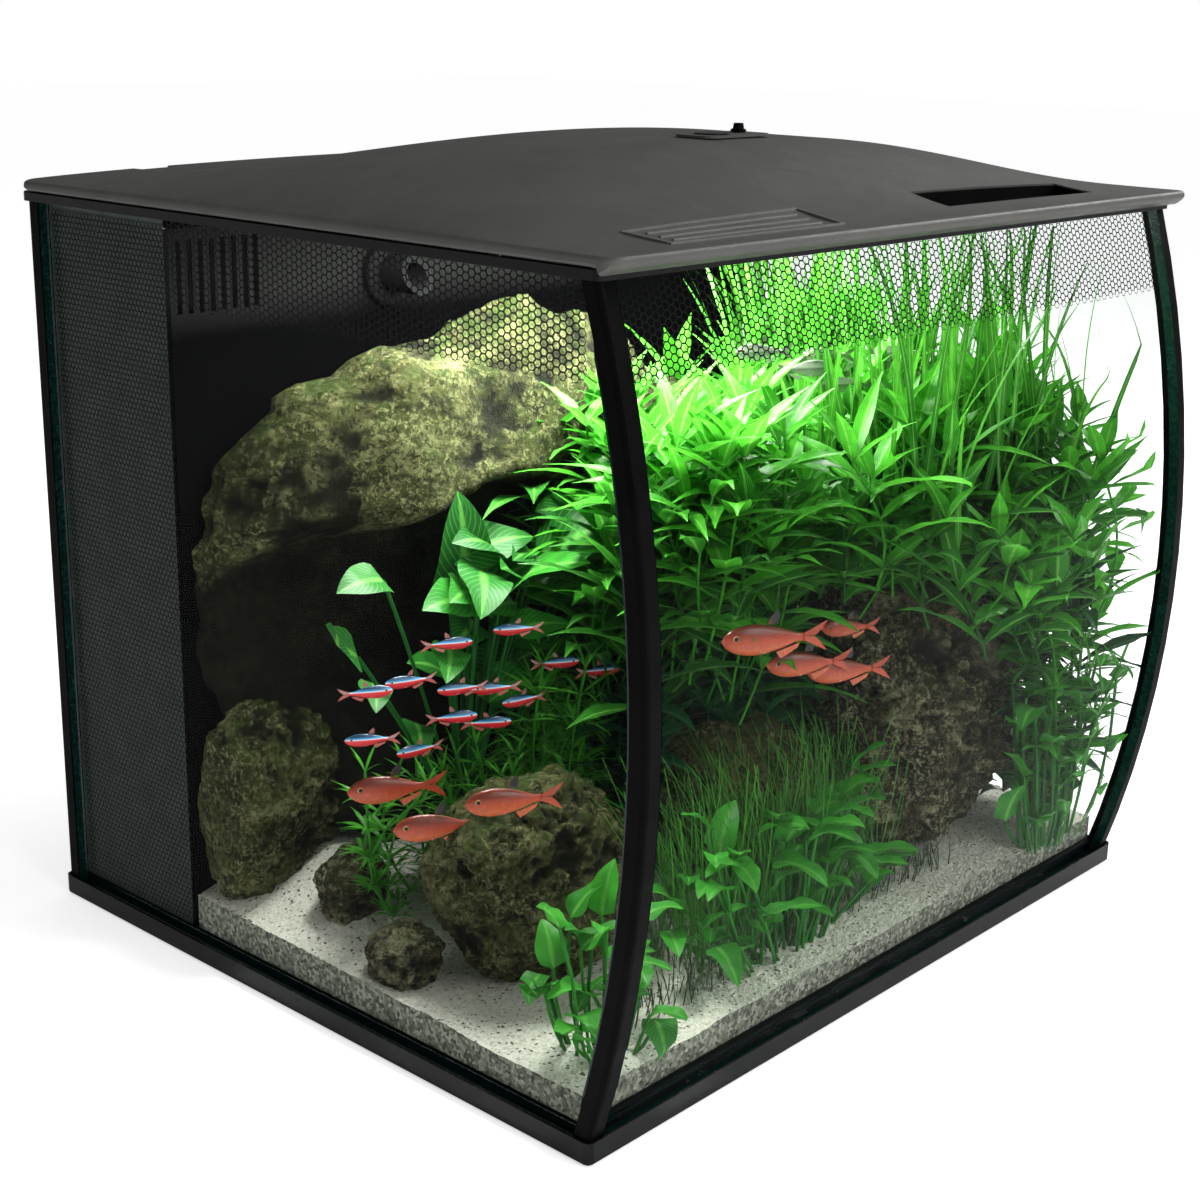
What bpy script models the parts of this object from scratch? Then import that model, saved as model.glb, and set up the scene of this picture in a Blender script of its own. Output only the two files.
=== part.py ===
"""Curved-front all-in-one aquarium, 57 litre class, planted and filtered.

Frame: +X is the width, the curved front faces -Y, +Z is up, and the origin is at the middle
of the footprint on the surface that the tank stands on. Every length is in metres.
"""
import math

import bmesh
import bpy
from mathutils import Matrix, Vector, noise

# Driving dimensions: the glass box
WIDTH = 0.410
DEPTH = 0.3835
HALF_W = WIDTH / 2
FRONT = -DEPTH / 2
REAR = DEPTH / 2
GLASS = 0.005
GAP = 0.0003
BULGE_RADIUS = 0.5567
BULGE_MID_Z = 0.1728
BULGE_STEPS = 14
SEAM = 0.0082
SEAM_ROUND = 0.0025
REAR_FACE = REAR - 0.0018
WALL_BOTTOM = 0.0058
WALL_TOP = 0.3468
FLOOR_TOP = WALL_BOTTOM + GLASS
FLOOR_FRONT = -0.1575

# Plastic frames
BASE_HEIGHT = 0.010
BASE_LEDGE = 0.0055
BASE_HALF_W = HALF_W + 0.0015
BASE_FRONT = -0.1690
BASE_REAR = REAR_FACE + 0.0015
LIP = 0.0012
RAIL_WIDTH = 0.012
TOP_SKIRT_Z = 0.3450
TOP_LEDGE_Z = 0.3471
TOP_Z = 0.3494
TOP_HALF_W = HALF_W + 0.0018
TOP_FRONT = -0.1662
CORNER_RADIUS = 0.003

# Filter chamber behind the display
WALL_Y = 0.0903
WALL_THICK = 0.0035
PARTITION_TOP = 0.340
CHAMBER_FRONT = WALL_Y + WALL_THICK
CHAMBER_REAR = 0.1843
BAFFLE_X = 0.115
BAFFLE_THICK = 0.003
SLOT_COUNT = 8
SLOT_PITCH = 0.006
SLOT_WIDTH = 0.003
SLOT_Z = (0.303, 0.335)
SLOT_FIRST_X = 0.153
BAFFLE_Z = (0.030, 0.325)
NOZZLE_X = 0.075
NOZZLE_Z = 0.312
NOZZLE_R = 0.0090
NOZZLE_BORE = 0.0060
SOCKET_R = 0.0122
NOZZLE_MOUTH_Y = 0.0690
NOZZLE_BACK_Y = 0.1040
NOZZLE_SLANT = 0.45
FLANGE_R = 0.0160
FLANGE_Y = 0.0855
FLANGE_ROUND = 0.0010

# Filter media
FOAM_X = (0.120, 0.196)
FOAM_Y = (0.0985, 0.1808)
FOAM_Z = (0.0372, 0.290)
CRADLE_X = (0.126, 0.190)
CRADLE_Z = (0.034, 0.318)
CRADLE_REAR = 0.1838
CRADLE_HANDLE_Y = 0.150
CRADLE_SHEET = 0.0025
BASKET_LOW = (-0.1115, 0.0980, FLOOR_TOP + GAP)
BASKET_HIGH = (-0.0080, 0.1815, 0.220)
BASKET_WALL = 0.002
BAG_MARGIN = 0.004
BAG_HEIGHT = 0.0885
BAG_ROUND = 0.006

# Pump and outlet lines
PUMP_X = 0.045
PIPE_Y = 0.129
PUMP_LOW = (0.015, 0.118, 0.0113)
PUMP_HIGH = (0.075, 0.163, 0.075)
CHAMBER_R = 0.014
CHAMBER_BACK = 0.1385
OUTLET_R = 0.0045
IMPELLER_Z = 0.042
IMPELLER_Y = (0.1200, 0.1345)
IMPELLER_BORE = 0.0016
HUB_R = 0.0045
BLADE_R = 0.0118
BLADES = 6
SHAFT_R = 0.0012
SHAFT_Y = (0.1182, 0.1382)
COVER_R = 0.0175
COVER_Y = (0.1145, 0.1177)
GRILLE_SLOT = (0.022, 0.020, 0.002)
GRILLE_PITCH = 0.0045
TEE_HALF_W = 0.011
TEE_Y = (0.120, 0.138)
TEE_Z = (0.2985, 0.3255)
HOSE_R = 0.0065
HOSE_GAP = 0.0015
HOSE_END_Y = 0.1050

# Hood
HOOD_HALF_W = 0.2095
HOOD_FRONT = FRONT + 0.0175
HOOD_REAR = REAR
RIM_Z = 0.354
HOOD_BOTTOM = 0.350
CROWN = 0.0255
CROWN_START = FRONT + 0.0215
SHELL = 0.0025
FRONT_LIP = 0.0075
LIP_BOTTOM = 0.3465
CHAMFER = 0.0015
FRONT_CORNER = 0.006
REAR_CORNER = 0.010
HINGE_Y = 0.1893
HINGE_Z = 0.3520
HINGE_X = 0.136
KNUCKLE_R = 0.0023
PIN_R = 0.0010
PIN_CLEARANCE = 0.0002
BLOCK_HALF_W = 0.0055
FORK_HALF_W = 0.0060
ARM_HALF_W = 0.0098
ARM_TAIL_Y = 0.160
ARM_Z = (0.3506, 0.3522)
FORK_Y = 0.1833
NOTCH_HALF_W = 0.0102
NOTCH_Y = 0.1829
FEED_LOW = (0.030, -0.153)
FEED_HIGH = (0.153, -0.132)
PANEL_LOW = (-0.0165, -0.0580)
PANEL_HIGH = (0.0285, -0.0345)
PANEL_Z = 0.3798
PANEL_TOP = 0.3808
PANEL_CORNER = 0.006
BUTTON_AT = (-0.0017, -0.0464)
BUTTON_R = 0.0080
BUTTON_PROUD = 0.0006
BUTTON_CLEARANCE = 0.0006
GLAND_AT = (0.0185, -0.0453)
GLAND_R = 0.0036
GLAND_NECK_R = 0.0026
GLAND_TIP_R = 0.0022
GLAND_SHOULDER_Z = 0.3822
GLAND_NECK_Z = 0.3826
GLAND_TOP = 0.3850
LED_Z = (0.3530, 0.3600)
LED_LOW = (-0.150, -0.035)
LED_HIGH = (0.150, 0.025)
LED_WALL = 0.0015
LED_END_GAP = 0.002
BOARD_THICK = 0.0016
LENS_THICK = 0.0022
BRACKET_HALF_W = 0.030
BRACKET_Y = (-0.015, 0.010)

# Sand and stones
SAND_LEFT = 0.1992
SAND_FRONT = -0.1585
SAND_BACK = 0.0897
SAND_FRONT_Z = 0.0245
SAND_SLOPE = 0.004
SAND_BANK = 0.018
SAND_RIPPLE = 0.001
LAYOUT_CLEARANCE = 0.002
NOISE_SCALE = 1.7
OVERHANG = 0.12

# How far the cutters of openings reach past the walls they cut
CUT_PAST = 0.010


def clear_scene():
    for obj in list(bpy.data.objects):
        bpy.data.objects.remove(obj, do_unlink=True)


def material(name, color, roughness=0.5, metallic=0.0, transmission=0.0):
    """A Principled material, made once and then shared."""
    mat = bpy.data.materials.get(name)
    if mat:
        return mat
    mat = bpy.data.materials.new(name)
    mat.use_nodes = True
    shader = mat.node_tree.nodes["Principled BSDF"]
    shader.inputs["Base Color"].default_value = (*color, 1.0)
    shader.inputs["Roughness"].default_value = roughness
    shader.inputs["Metallic"].default_value = metallic
    shader.inputs["Transmission Weight"].default_value = transmission
    return mat


def glass():
    return material("float_glass", (0.90, 0.97, 0.95), 0.02, transmission=1.0)


def silicone():
    return material("black_silicone", (0.008, 0.008, 0.009), 0.35)


def frame_plastic():
    return material("black_gloss_plastic", (0.012, 0.012, 0.014), 0.28)


def hood_plastic():
    return material("hood_plastic", (0.050, 0.049, 0.047), 0.45)


def filter_plastic():
    return material("filter_plastic", (0.018, 0.018, 0.020), 0.5)


def finish(name, bm, mat, smooth_angle=None):
    """Turn a bmesh into a named object, with its faces pointing out."""
    bmesh.ops.recalc_face_normals(bm, faces=bm.faces)
    mesh = bpy.data.meshes.new(name)
    bm.to_mesh(mesh)
    bm.free()
    mesh.materials.append(mat)
    if smooth_angle is not None:
        mesh.shade_smooth()
        mesh.set_sharp_from_angle(angle=math.radians(smooth_angle))
    obj = bpy.data.objects.new(name, mesh)
    bpy.context.scene.collection.objects.link(obj)
    return obj


def set_origin(obj, point):
    """Move an object's origin to a point and leave its shape where it is."""
    obj.data.transform(Matrix.Translation(-Vector(point)))
    obj.location = point


def cutter(obj):
    obj.hide_render = True
    obj.display_type = "WIRE"
    return obj


def cut(obj, tool):
    modifier = obj.modifiers.new("cut_" + tool.name, "BOOLEAN")
    modifier.operation = "DIFFERENCE"
    modifier.solver = "EXACT"
    modifier.object = cutter(tool)


def box(name, low, high, mat, bevel=0.0):
    bm = bmesh.new()
    bmesh.ops.create_cube(bm, size=1.0)
    for vert in bm.verts:
        for axis in range(3):
            vert.co[axis] = high[axis] if vert.co[axis] > 0 else low[axis]
    if bevel:
        bmesh.ops.bevel(bm, geom=list(bm.edges), offset=bevel, segments=2, affect="EDGES")
    return finish(name, bm, mat, 40 if bevel else None)


def loft_loops(bm, loops, closed):
    """Bridge loops of equal point counts; closed joins the last loop to the first."""
    rows = [[bm.verts.new(point) for point in loop] for loop in loops]
    pairs = list(zip(rows, rows[1:]))
    if closed:
        pairs.append((rows[-1], rows[0]))
    for first, second in pairs:
        count = len(first)
        for i in range(count):
            j = (i + 1) % count
            bm.faces.new((first[i], first[j], second[j], second[i]))
    return rows


def prism(name, outline, low, high, axis, mat, smooth_angle=None):
    """Extrude an outline along X, Y or Z; its pairs are the other two axes in order."""
    def place(pair, level):
        values = list(pair)
        values.insert("XYZ".index(axis), level)
        return values

    bm = bmesh.new()
    rows = loft_loops(bm, [[place(p, level) for p in outline] for level in (low, high)], False)
    for row in rows:
        bm.faces.new(row)
    return finish(name, bm, mat, smooth_angle)


def cylinder(name, centre, radius, low, high, axis, mat, sides=16):
    """A round bar along an axis; centre gives the other two axes in order."""
    outline = []
    for i in range(sides):
        angle = 2 * math.pi * (i + 0.5) / sides
        outline.append((centre[0] + radius * math.cos(angle), centre[1] + radius * math.sin(angle)))
    return prism(name, outline, low, high, axis, mat, 40)


def turned_ring(name, centre, section, mat, sides=20):
    """Turn a closed section of (radius, y) round an axis along Y; centre is (x, z)."""
    loops = []
    for radius, y in section:
        loop = []
        for i in range(sides):
            angle = 2 * math.pi * i / sides
            loop.append((centre[0] + radius * math.cos(angle), y,
                         centre[1] + radius * math.sin(angle)))
        loops.append(loop)
    bm = bmesh.new()
    loft_loops(bm, loops, True)
    return finish(name, bm, mat, 40)


def curve_points(route, count):
    """Points on a smooth Catmull-Rom curve through a route."""
    guide = [Vector(p) for p in route]
    padded = [2 * guide[0] - guide[1]] + guide + [2 * guide[-1] - guide[-2]]
    spans = len(guide) - 1
    points = []
    for i in range(count):
        place = spans * i / (count - 1)
        k = min(int(place), spans - 1)
        t = place - k
        a, b, c, d = padded[k:k + 4]
        points.append(0.5 * (2 * b + (c - a) * t + (2 * a - 5 * b + 4 * c - d) * t ** 2
                             + (3 * b - a - 3 * c + d) * t ** 3))
    return points


def hose(name, route, radius, mat, count=14):
    curve = bpy.data.curves.new(name, "CURVE")
    curve.dimensions = "3D"
    curve.bevel_depth = radius
    curve.bevel_resolution = 2
    curve.use_fill_caps = True
    curve.materials.append(mat)
    points = curve_points(route, count)
    spline = curve.splines.new("POLY")
    spline.points.add(len(points) - 1)
    for place, point in zip(spline.points, points):
        place.co = (*point, 1.0)
    obj = bpy.data.objects.new(name, curve)
    bpy.context.scene.collection.objects.link(obj)
    return obj


def smoothstep(value):
    t = min(max(value, 0.0), 1.0)
    return t * t * (3 - 2 * t)


# The glass tank

def front_face_y(z):
    """The outer face of the curved front glass at a height."""
    rise = z - BULGE_MID_Z
    return FRONT + BULGE_RADIUS - math.sqrt(BULGE_RADIUS ** 2 - rise ** 2)


def wall_heights():
    return [WALL_BOTTOM + (WALL_TOP - WALL_BOTTOM) * i / BULGE_STEPS
            for i in range(BULGE_STEPS + 1)]


def curved_strip(near, far):
    """The (y, z) outline between two depths behind the front's outer face."""
    outer = [(front_face_y(z) + near, z) for z in wall_heights()]
    inner = [(front_face_y(z) + far, z) for z in reversed(wall_heights())]
    return outer + inner


def glass_panes():
    inner_x = HALF_W - SEAM - GAP
    prism("front_glass", curved_strip(0.0, GLASS), -inner_x, inner_x, "X", glass(), 30)
    front_edge = [(front_face_y(z) + SEAM + GAP, z) for z in wall_heights()]
    rear_edge = REAR_FACE - SEAM - GAP
    outline = front_edge + [(rear_edge, WALL_TOP), (rear_edge, WALL_BOTTOM)]
    prism("left_glass", outline, -HALF_W, GLASS - HALF_W, "X", glass())
    prism("right_glass", outline, HALF_W - GLASS, HALF_W, "X", glass())
    rear_low = (-inner_x, REAR_FACE - GLASS, WALL_BOTTOM)
    rear_high = (inner_x, REAR_FACE, WALL_TOP)
    box("rear_glass", rear_low, rear_high, glass())
    floor_x = HALF_W - GLASS - GAP
    box("bottom_glass", (-floor_x, FLOOR_FRONT, WALL_BOTTOM),
        (floor_x, REAR_FACE - SEAM - GAP, FLOOR_TOP), glass())


def corner_seam(name, side, heights, face_y, inward):
    """A bead of silicone with a rounded outer edge; inward is the sign of y away from the face."""
    loops = []
    for z in heights:
        y = face_y(z)
        loop = [(side * (HALF_W - SEAM), y + inward * SEAM, z), (side * HALF_W, y + inward * SEAM, z)]
        for step in range(4):
            angle = math.radians(30 * step)
            loop.append((side * (HALF_W - SEAM_ROUND + SEAM_ROUND * math.cos(angle)),
                         y + inward * SEAM_ROUND * (1 - math.sin(angle)), z))
        loop.append((side * (HALF_W - SEAM), y, z))
        loops.append(loop)
    bm = bmesh.new()
    rows = loft_loops(bm, loops, False)
    bm.faces.new(rows[0])
    bm.faces.new(rows[-1])
    return finish(name, bm, silicone(), 30)


def corner_seams():
    for label, side in (("left", -1), ("right", 1)):
        corner_seam("front_%s_corner_seam" % label, side, wall_heights(), front_face_y, 1)
        corner_seam("rear_%s_corner_seam" % label, side, (WALL_BOTTOM, WALL_TOP),
                    lambda z: REAR_FACE, -1)


def rounded_outline(half_w, front, rear, inset):
    """A rounded rectangle in plan, pulled in by an inset."""
    radius = max(CORNER_RADIUS - inset, 0.0006)
    x = half_w - inset - radius
    corners = ((x, front + inset + radius, -90), (x, rear - inset - radius, 0),
               (-x, rear - inset - radius, 90), (-x, front + inset + radius, 180))
    points = []
    for cx, cy, start in corners:
        for step in range(3):
            angle = math.radians(start + 45 * step)
            points.append((cx + radius * math.cos(angle), cy + radius * math.sin(angle)))
    return points


def frame_ring(name, half_w, front, rear, section, mat):
    """Sweep a closed section of (inset, z) round a rounded rectangle."""
    loops = []
    for inset, z in section:
        loops.append([(x, y, z) for x, y in rounded_outline(half_w, front, rear, inset)])
    bm = bmesh.new()
    loft_loops(bm, loops, True)
    return finish(name, bm, mat, 40)


def plastic_frames():
    base_section = [(0.0, 0.0008), (0.0, BASE_HEIGHT), (LIP, BASE_HEIGHT), (LIP, BASE_LEDGE),
                    (RAIL_WIDTH, BASE_LEDGE), (RAIL_WIDTH, 0.0), (0.0008, 0.0)]
    frame_ring("base_frame", BASE_HALF_W, BASE_FRONT, BASE_REAR, base_section, frame_plastic())
    top_section = [(0.0, TOP_SKIRT_Z), (0.0, TOP_Z - 0.0006), (0.0006, TOP_Z),
                   (RAIL_WIDTH, TOP_Z), (RAIL_WIDTH, TOP_LEDGE_Z), (0.0015, TOP_LEDGE_Z),
                   (0.0015, TOP_SKIRT_Z)]
    frame_ring("top_frame", TOP_HALF_W, TOP_FRONT, REAR, top_section, frame_plastic())


# The filter chamber

def slot_positions():
    """The middle of each intake slot, left group and right group."""
    right = [SLOT_FIRST_X + SLOT_PITCH * i for i in range(SLOT_COUNT)]
    return [-x for x in right] + right


def filter_partition():
    limit = HALF_W - GLASS - GAP
    wall = box("filter_partition", (-limit, WALL_Y, FLOOR_TOP + GAP),
               (limit, CHAMBER_FRONT, PARTITION_TOP), filter_plastic())
    bm = bmesh.new()
    for x in slot_positions():
        made = bmesh.ops.create_cube(bm, size=1.0)
        for vert in made["verts"]:
            vert.co.x = x + vert.co.x * SLOT_WIDTH
            vert.co.y = WALL_Y + vert.co.y * 2 * CUT_PAST
            vert.co.z = (SLOT_Z[0] + SLOT_Z[1]) / 2 + vert.co.z * (SLOT_Z[1] - SLOT_Z[0])
    cut(wall, finish("intake_slots_cutter", bm, filter_plastic()))
    for side, sign in (("left", -1), ("right", 1)):
        hole = cylinder("nozzle_hole_%s_cutter" % side, (sign * NOZZLE_X, NOZZLE_Z),
                        SOCKET_R + GAP, WALL_Y - CUT_PAST, CHAMBER_FRONT + CUT_PAST, "Y",
                        filter_plastic(), 20)
        cut(wall, hole)


def baffles():
    for side, sign in (("left", -1), ("right", 1)):
        middle = sign * BAFFLE_X
        low = (middle - BAFFLE_THICK / 2, CHAMBER_FRONT + GAP, BAFFLE_Z[0])
        high = (middle + BAFFLE_THICK / 2, CHAMBER_REAR, BAFFLE_Z[1])
        box("%s_baffle" % side, low, high, filter_plastic())


def foam_filters():
    """A foam block on a lift-out cradle in each side chamber."""
    foam = material("filter_foam", (0.03, 0.03, 0.03), 0.95)
    bottom, top = CRADLE_Z
    inner_rear = CRADLE_REAR - CRADLE_SHEET
    cradle = [(FOAM_Y[0], bottom), (CRADLE_REAR, bottom), (CRADLE_REAR, top),
              (CRADLE_HANDLE_Y, top), (CRADLE_HANDLE_Y, top - CRADLE_SHEET),
              (inner_rear, top - CRADLE_SHEET), (inner_rear, bottom + CRADLE_SHEET),
              (FOAM_Y[0], bottom + CRADLE_SHEET)]
    for side, sign in (("left", -1), ("right", 1)):
        foam_x = sorted(sign * x for x in FOAM_X)
        cradle_x = sorted(sign * x for x in CRADLE_X)
        box("%s_foam_block" % side, (foam_x[0], FOAM_Y[0], FOAM_Z[0]),
            (foam_x[1], FOAM_Y[1], FOAM_Z[1]), foam, 0.002)
        prism("%s_foam_cradle" % side, cradle, cradle_x[0], cradle_x[1], "X", filter_plastic())


def media_stack():
    """An open basket with a bag of ceramic rings under a bag of carbon."""
    low, high = Vector(BASKET_LOW), Vector(BASKET_HIGH)
    basket = box("media_basket", low, high, filter_plastic())
    cavity_low = low + Vector((BASKET_WALL, BASKET_WALL, BASKET_WALL))
    cavity_high = high + Vector((-BASKET_WALL, -BASKET_WALL, CUT_PAST))
    cut(basket, box("basket_cavity_cutter", cavity_low, cavity_high, filter_plastic()))
    bags = (("ceramic_media", (0.75, 0.72, 0.66)), ("carbon_media", (0.02, 0.02, 0.02)))
    bottom = cavity_low.z + GAP
    for name, color in bags:
        box(name + "_bag", (low.x + BAG_MARGIN, low.y + BAG_MARGIN, bottom),
            (high.x - BAG_MARGIN, high.y - BAG_MARGIN, bottom + BAG_HEIGHT),
            material(name, color, 0.9), BAG_ROUND)
        bottom += BAG_HEIGHT + GAP


def impeller():
    """Straight blades round a hub that turns on the pump shaft."""
    outline = []
    for i in range(BLADES):
        for half_angle, radius in ((-20, HUB_R), (-6, BLADE_R), (6, BLADE_R), (20, HUB_R)):
            angle = math.radians(360 * i / BLADES + half_angle)
            outline.append((radius * math.cos(angle), radius * math.sin(angle)))
    bore = []
    for x, z in outline:
        angle = math.atan2(z, x)
        bore.append((IMPELLER_BORE * math.cos(angle), IMPELLER_BORE * math.sin(angle)))
    front_y, back_y = IMPELLER_Y
    loops = []
    for ring, y in ((outline, front_y), (outline, back_y), (bore, back_y), (bore, front_y)):
        loops.append([(PUMP_X + x, y, IMPELLER_Z + z) for x, z in ring])
    bm = bmesh.new()
    loft_loops(bm, loops, True)
    obj = finish("impeller", bm, material("impeller_plastic", (0.7, 0.7, 0.68), 0.4))
    set_origin(obj, (PUMP_X, (front_y + back_y) / 2, IMPELLER_Z))


def pump():
    """The pump's body with its rotor chamber and outlet, the shaft, and the slotted cover."""
    body = box("pump_body", PUMP_LOW, PUMP_HIGH, filter_plastic(), 0.003)
    centre = (PUMP_X, IMPELLER_Z)
    cut(body, cylinder("pump_chamber_cutter", centre, CHAMBER_R, PUMP_LOW[1] - CUT_PAST,
                       CHAMBER_BACK, "Y", filter_plastic(), 24))
    cut(body, cylinder("pump_outlet_cutter", (PUMP_X, PIPE_Y), OUTLET_R, IMPELLER_Z,
                       PUMP_HIGH[2] + CUT_PAST, "Z", filter_plastic(), 12))
    ceramic = material("ceramic_shaft", (0.85, 0.85, 0.83), 0.25)
    cylinder("impeller_shaft", centre, SHAFT_R, SHAFT_Y[0], SHAFT_Y[1], "Y", ceramic, 12)
    cover = cylinder("pump_intake_cover", centre, COVER_R, COVER_Y[0], COVER_Y[1], "Y",
                     filter_plastic(), 24)
    bm = bmesh.new()
    for row in range(-2, 3):
        made = bmesh.ops.create_cube(bm, size=1.0)
        middle = Vector((PUMP_X, COVER_Y[0], IMPELLER_Z + row * GRILLE_PITCH))
        for vert in made["verts"]:
            vert.co = middle + vert.co * Vector(GRILLE_SLOT)
    cut(cover, finish("intake_grille_cutter", bm, filter_plastic()))
    impeller()


def outlet_lines():
    """The riser from the pump, the tee above it and a hose to each nozzle."""
    rubber = material("hose_rubber", (0.02, 0.02, 0.02), 0.6)
    cylinder("riser_hose", (PUMP_X, PIPE_Y), HOSE_R, PUMP_HIGH[2] + GAP, TEE_Z[0] - GAP, "Z",
             rubber, 12)
    box("outlet_tee", (PUMP_X - TEE_HALF_W, TEE_Y[0], TEE_Z[0]),
        (PUMP_X + TEE_HALF_W, TEE_Y[1], TEE_Z[1]), filter_plastic(), 0.002)
    tee_left = PUMP_X - TEE_HALF_W - HOSE_GAP
    tee_right = PUMP_X + TEE_HALF_W + HOSE_GAP
    left = [(tee_left, PIPE_Y), (0.016, PIPE_Y), (-0.018, 0.131), (-0.048, 0.130),
            (-0.068, 0.123), (-NOZZLE_X, 0.113), (-NOZZLE_X, HOSE_END_Y)]
    right = [(tee_right, PIPE_Y), (0.062, PIPE_Y), (0.0715, 0.123), (NOZZLE_X, 0.113),
             (NOZZLE_X, HOSE_END_Y)]
    for name, route in (("left_outlet_hose", left), ("right_outlet_hose", right)):
        hose(name, [(x, y, NOZZLE_Z) for x, y in route], HOSE_R, rubber)


def nozzle(side, sign):
    """A short tube with a slanted mouth that turns in its socket."""
    sides = 20
    centre_x = sign * NOZZLE_X
    section = ((NOZZLE_R, NOZZLE_MOUTH_Y, NOZZLE_SLANT), (NOZZLE_R, NOZZLE_BACK_Y, 0.0),
               (NOZZLE_BORE, NOZZLE_BACK_Y, 0.0), (NOZZLE_BORE, NOZZLE_MOUTH_Y, NOZZLE_SLANT))
    loops = []
    for radius, y, lean in section:
        loop = []
        for i in range(sides):
            angle = 2 * math.pi * i / sides
            rise = radius * math.sin(angle)
            loop.append((centre_x + radius * math.cos(angle), y + lean * rise, NOZZLE_Z + rise))
        loops.append(loop)
    bm = bmesh.new()
    loft_loops(bm, loops, True)
    obj = finish("%s_nozzle" % side, bm, filter_plastic(), 40)
    set_origin(obj, (centre_x, WALL_Y, NOZZLE_Z))


def nozzles():
    inner = NOZZLE_R + GAP
    section = [(inner, FLANGE_Y), (FLANGE_R - FLANGE_ROUND, FLANGE_Y),
               (FLANGE_R, FLANGE_Y + FLANGE_ROUND), (FLANGE_R, WALL_Y - GAP),
               (SOCKET_R, WALL_Y - GAP), (SOCKET_R, NOZZLE_BACK_Y), (inner, NOZZLE_BACK_Y)]
    for side, sign in (("left", -1), ("right", 1)):
        turned_ring("%s_nozzle_socket" % side, (sign * NOZZLE_X, NOZZLE_Z), section,
                    filter_plastic())
        nozzle(side, sign)


# The hood

def crown_z(x, y):
    """The hood's outer surface: a plateau that falls to the side rims, the front and the rear."""
    side = (1 - min(abs(x) / HOOD_HALF_W, 1.0) ** 2) ** 0.8
    front = smoothstep((y - CROWN_START) / 0.120)
    rear = 1 - 0.83 * smoothstep((y - 0.015) / (HOOD_REAR - 0.015))
    return RIM_Z + CROWN * side * front * rear


def round_corner(x, y):
    """Pull a point of the square plan onto the hood's rounded corners."""
    radius = FRONT_CORNER if y < 0 else REAR_CORNER
    edge_y = HOOD_FRONT + radius if y < 0 else HOOD_REAR - radius
    over_x = (abs(x) - (HOOD_HALF_W - radius)) / radius
    over_y = (edge_y - y) / radius if y < 0 else (y - edge_y) / radius
    if over_x <= 0 or over_y <= 0:
        return x, y
    new_x = HOOD_HALF_W - radius + radius * over_x * math.sqrt(1 - over_y ** 2 / 2)
    shift = radius * over_y * math.sqrt(1 - over_x ** 2 / 2)
    new_y = edge_y - shift if y < 0 else edge_y + shift
    return math.copysign(new_x, x), new_y


def warp(value, edge, wall, blend):
    """Move a coordinate near an edge inward by the wall, fading out over the blend."""
    depth = abs(edge - value)
    if depth >= blend:
        return value
    return value - math.copysign(wall * (1 - depth / blend), edge)


def inner_point(x, y):
    """The point of the hood's inner surface that belongs to a point of the outer one."""
    rim_blend, lip_blend = 8 * SHELL, 2 * FRONT_LIP
    new_x = warp(x, math.copysign(HOOD_HALF_W, x), SHELL, rim_blend) if x else x
    if y < 0:
        return new_x, warp(y, HOOD_FRONT, FRONT_LIP, lip_blend)
    return new_x, warp(y, HOOD_REAR, SHELL, rim_blend)


def spread(start, stop, count):
    """Evenly spaced values from start on, without stop itself."""
    return [start + (stop - start) * i / count for i in range(count)]


def hood_lines():
    """Grid lines across the hood, closer at the rims and corners."""
    half = spread(0.0, 0.150, 7) + spread(0.150, HOOD_HALF_W - REAR_CORNER, 4)
    half += [HOOD_HALF_W - edge for edge in (REAR_CORNER, FRONT_CORNER, FRONT_CORNER / 2, 0.0)]
    xs = [-x for x in reversed(half[1:])] + half
    front_flat = HOOD_FRONT + FRONT_LIP
    ys = [HOOD_FRONT + edge for edge in (0.0, FRONT_CORNER / 2, FRONT_CORNER)]
    ys += spread(front_flat, 0.0, 9) + spread(0.0, HOOD_REAR - REAR_CORNER, 8)
    ys += [HOOD_REAR - edge for edge in (REAR_CORNER, REAR_CORNER / 2, REAR_CORNER / 4, 0.0)]
    return xs, ys


def perimeter(columns, rows):
    """Grid indices round the edge, in order."""
    path = [(i, 0) for i in range(columns)]
    path += [(columns - 1, j) for j in range(1, rows)]
    path += [(i, rows - 1) for i in range(columns - 2, -1, -1)]
    path += [(0, j) for j in range(rows - 2, 0, -1)]
    return path


def rim_rings(bm, path, outer, inner):
    """The rings from the outer rim round the hood's bottom edge to the inner rim."""
    side, heel, foot = [], [], []
    for i, j in path:
        top, bottom = outer[i, j].co, inner[i, j].co
        inward = (Vector(bottom) - Vector(top)) * Vector((1, 1, 0))
        toe = Vector((top.x, top.y, HOOD_BOTTOM)) + inward.normalized() * CHAMFER
        side.append(bm.verts.new((top.x, top.y, HOOD_BOTTOM + CHAMFER)))
        heel.append(bm.verts.new(toe))
        foot_z = LIP_BOTTOM if j == 0 else HOOD_BOTTOM
        foot.append(bm.verts.new((bottom.x, bottom.y, foot_z)))
    return [[outer[c] for c in path], side, heel, foot, [inner[c] for c in path]]


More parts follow.
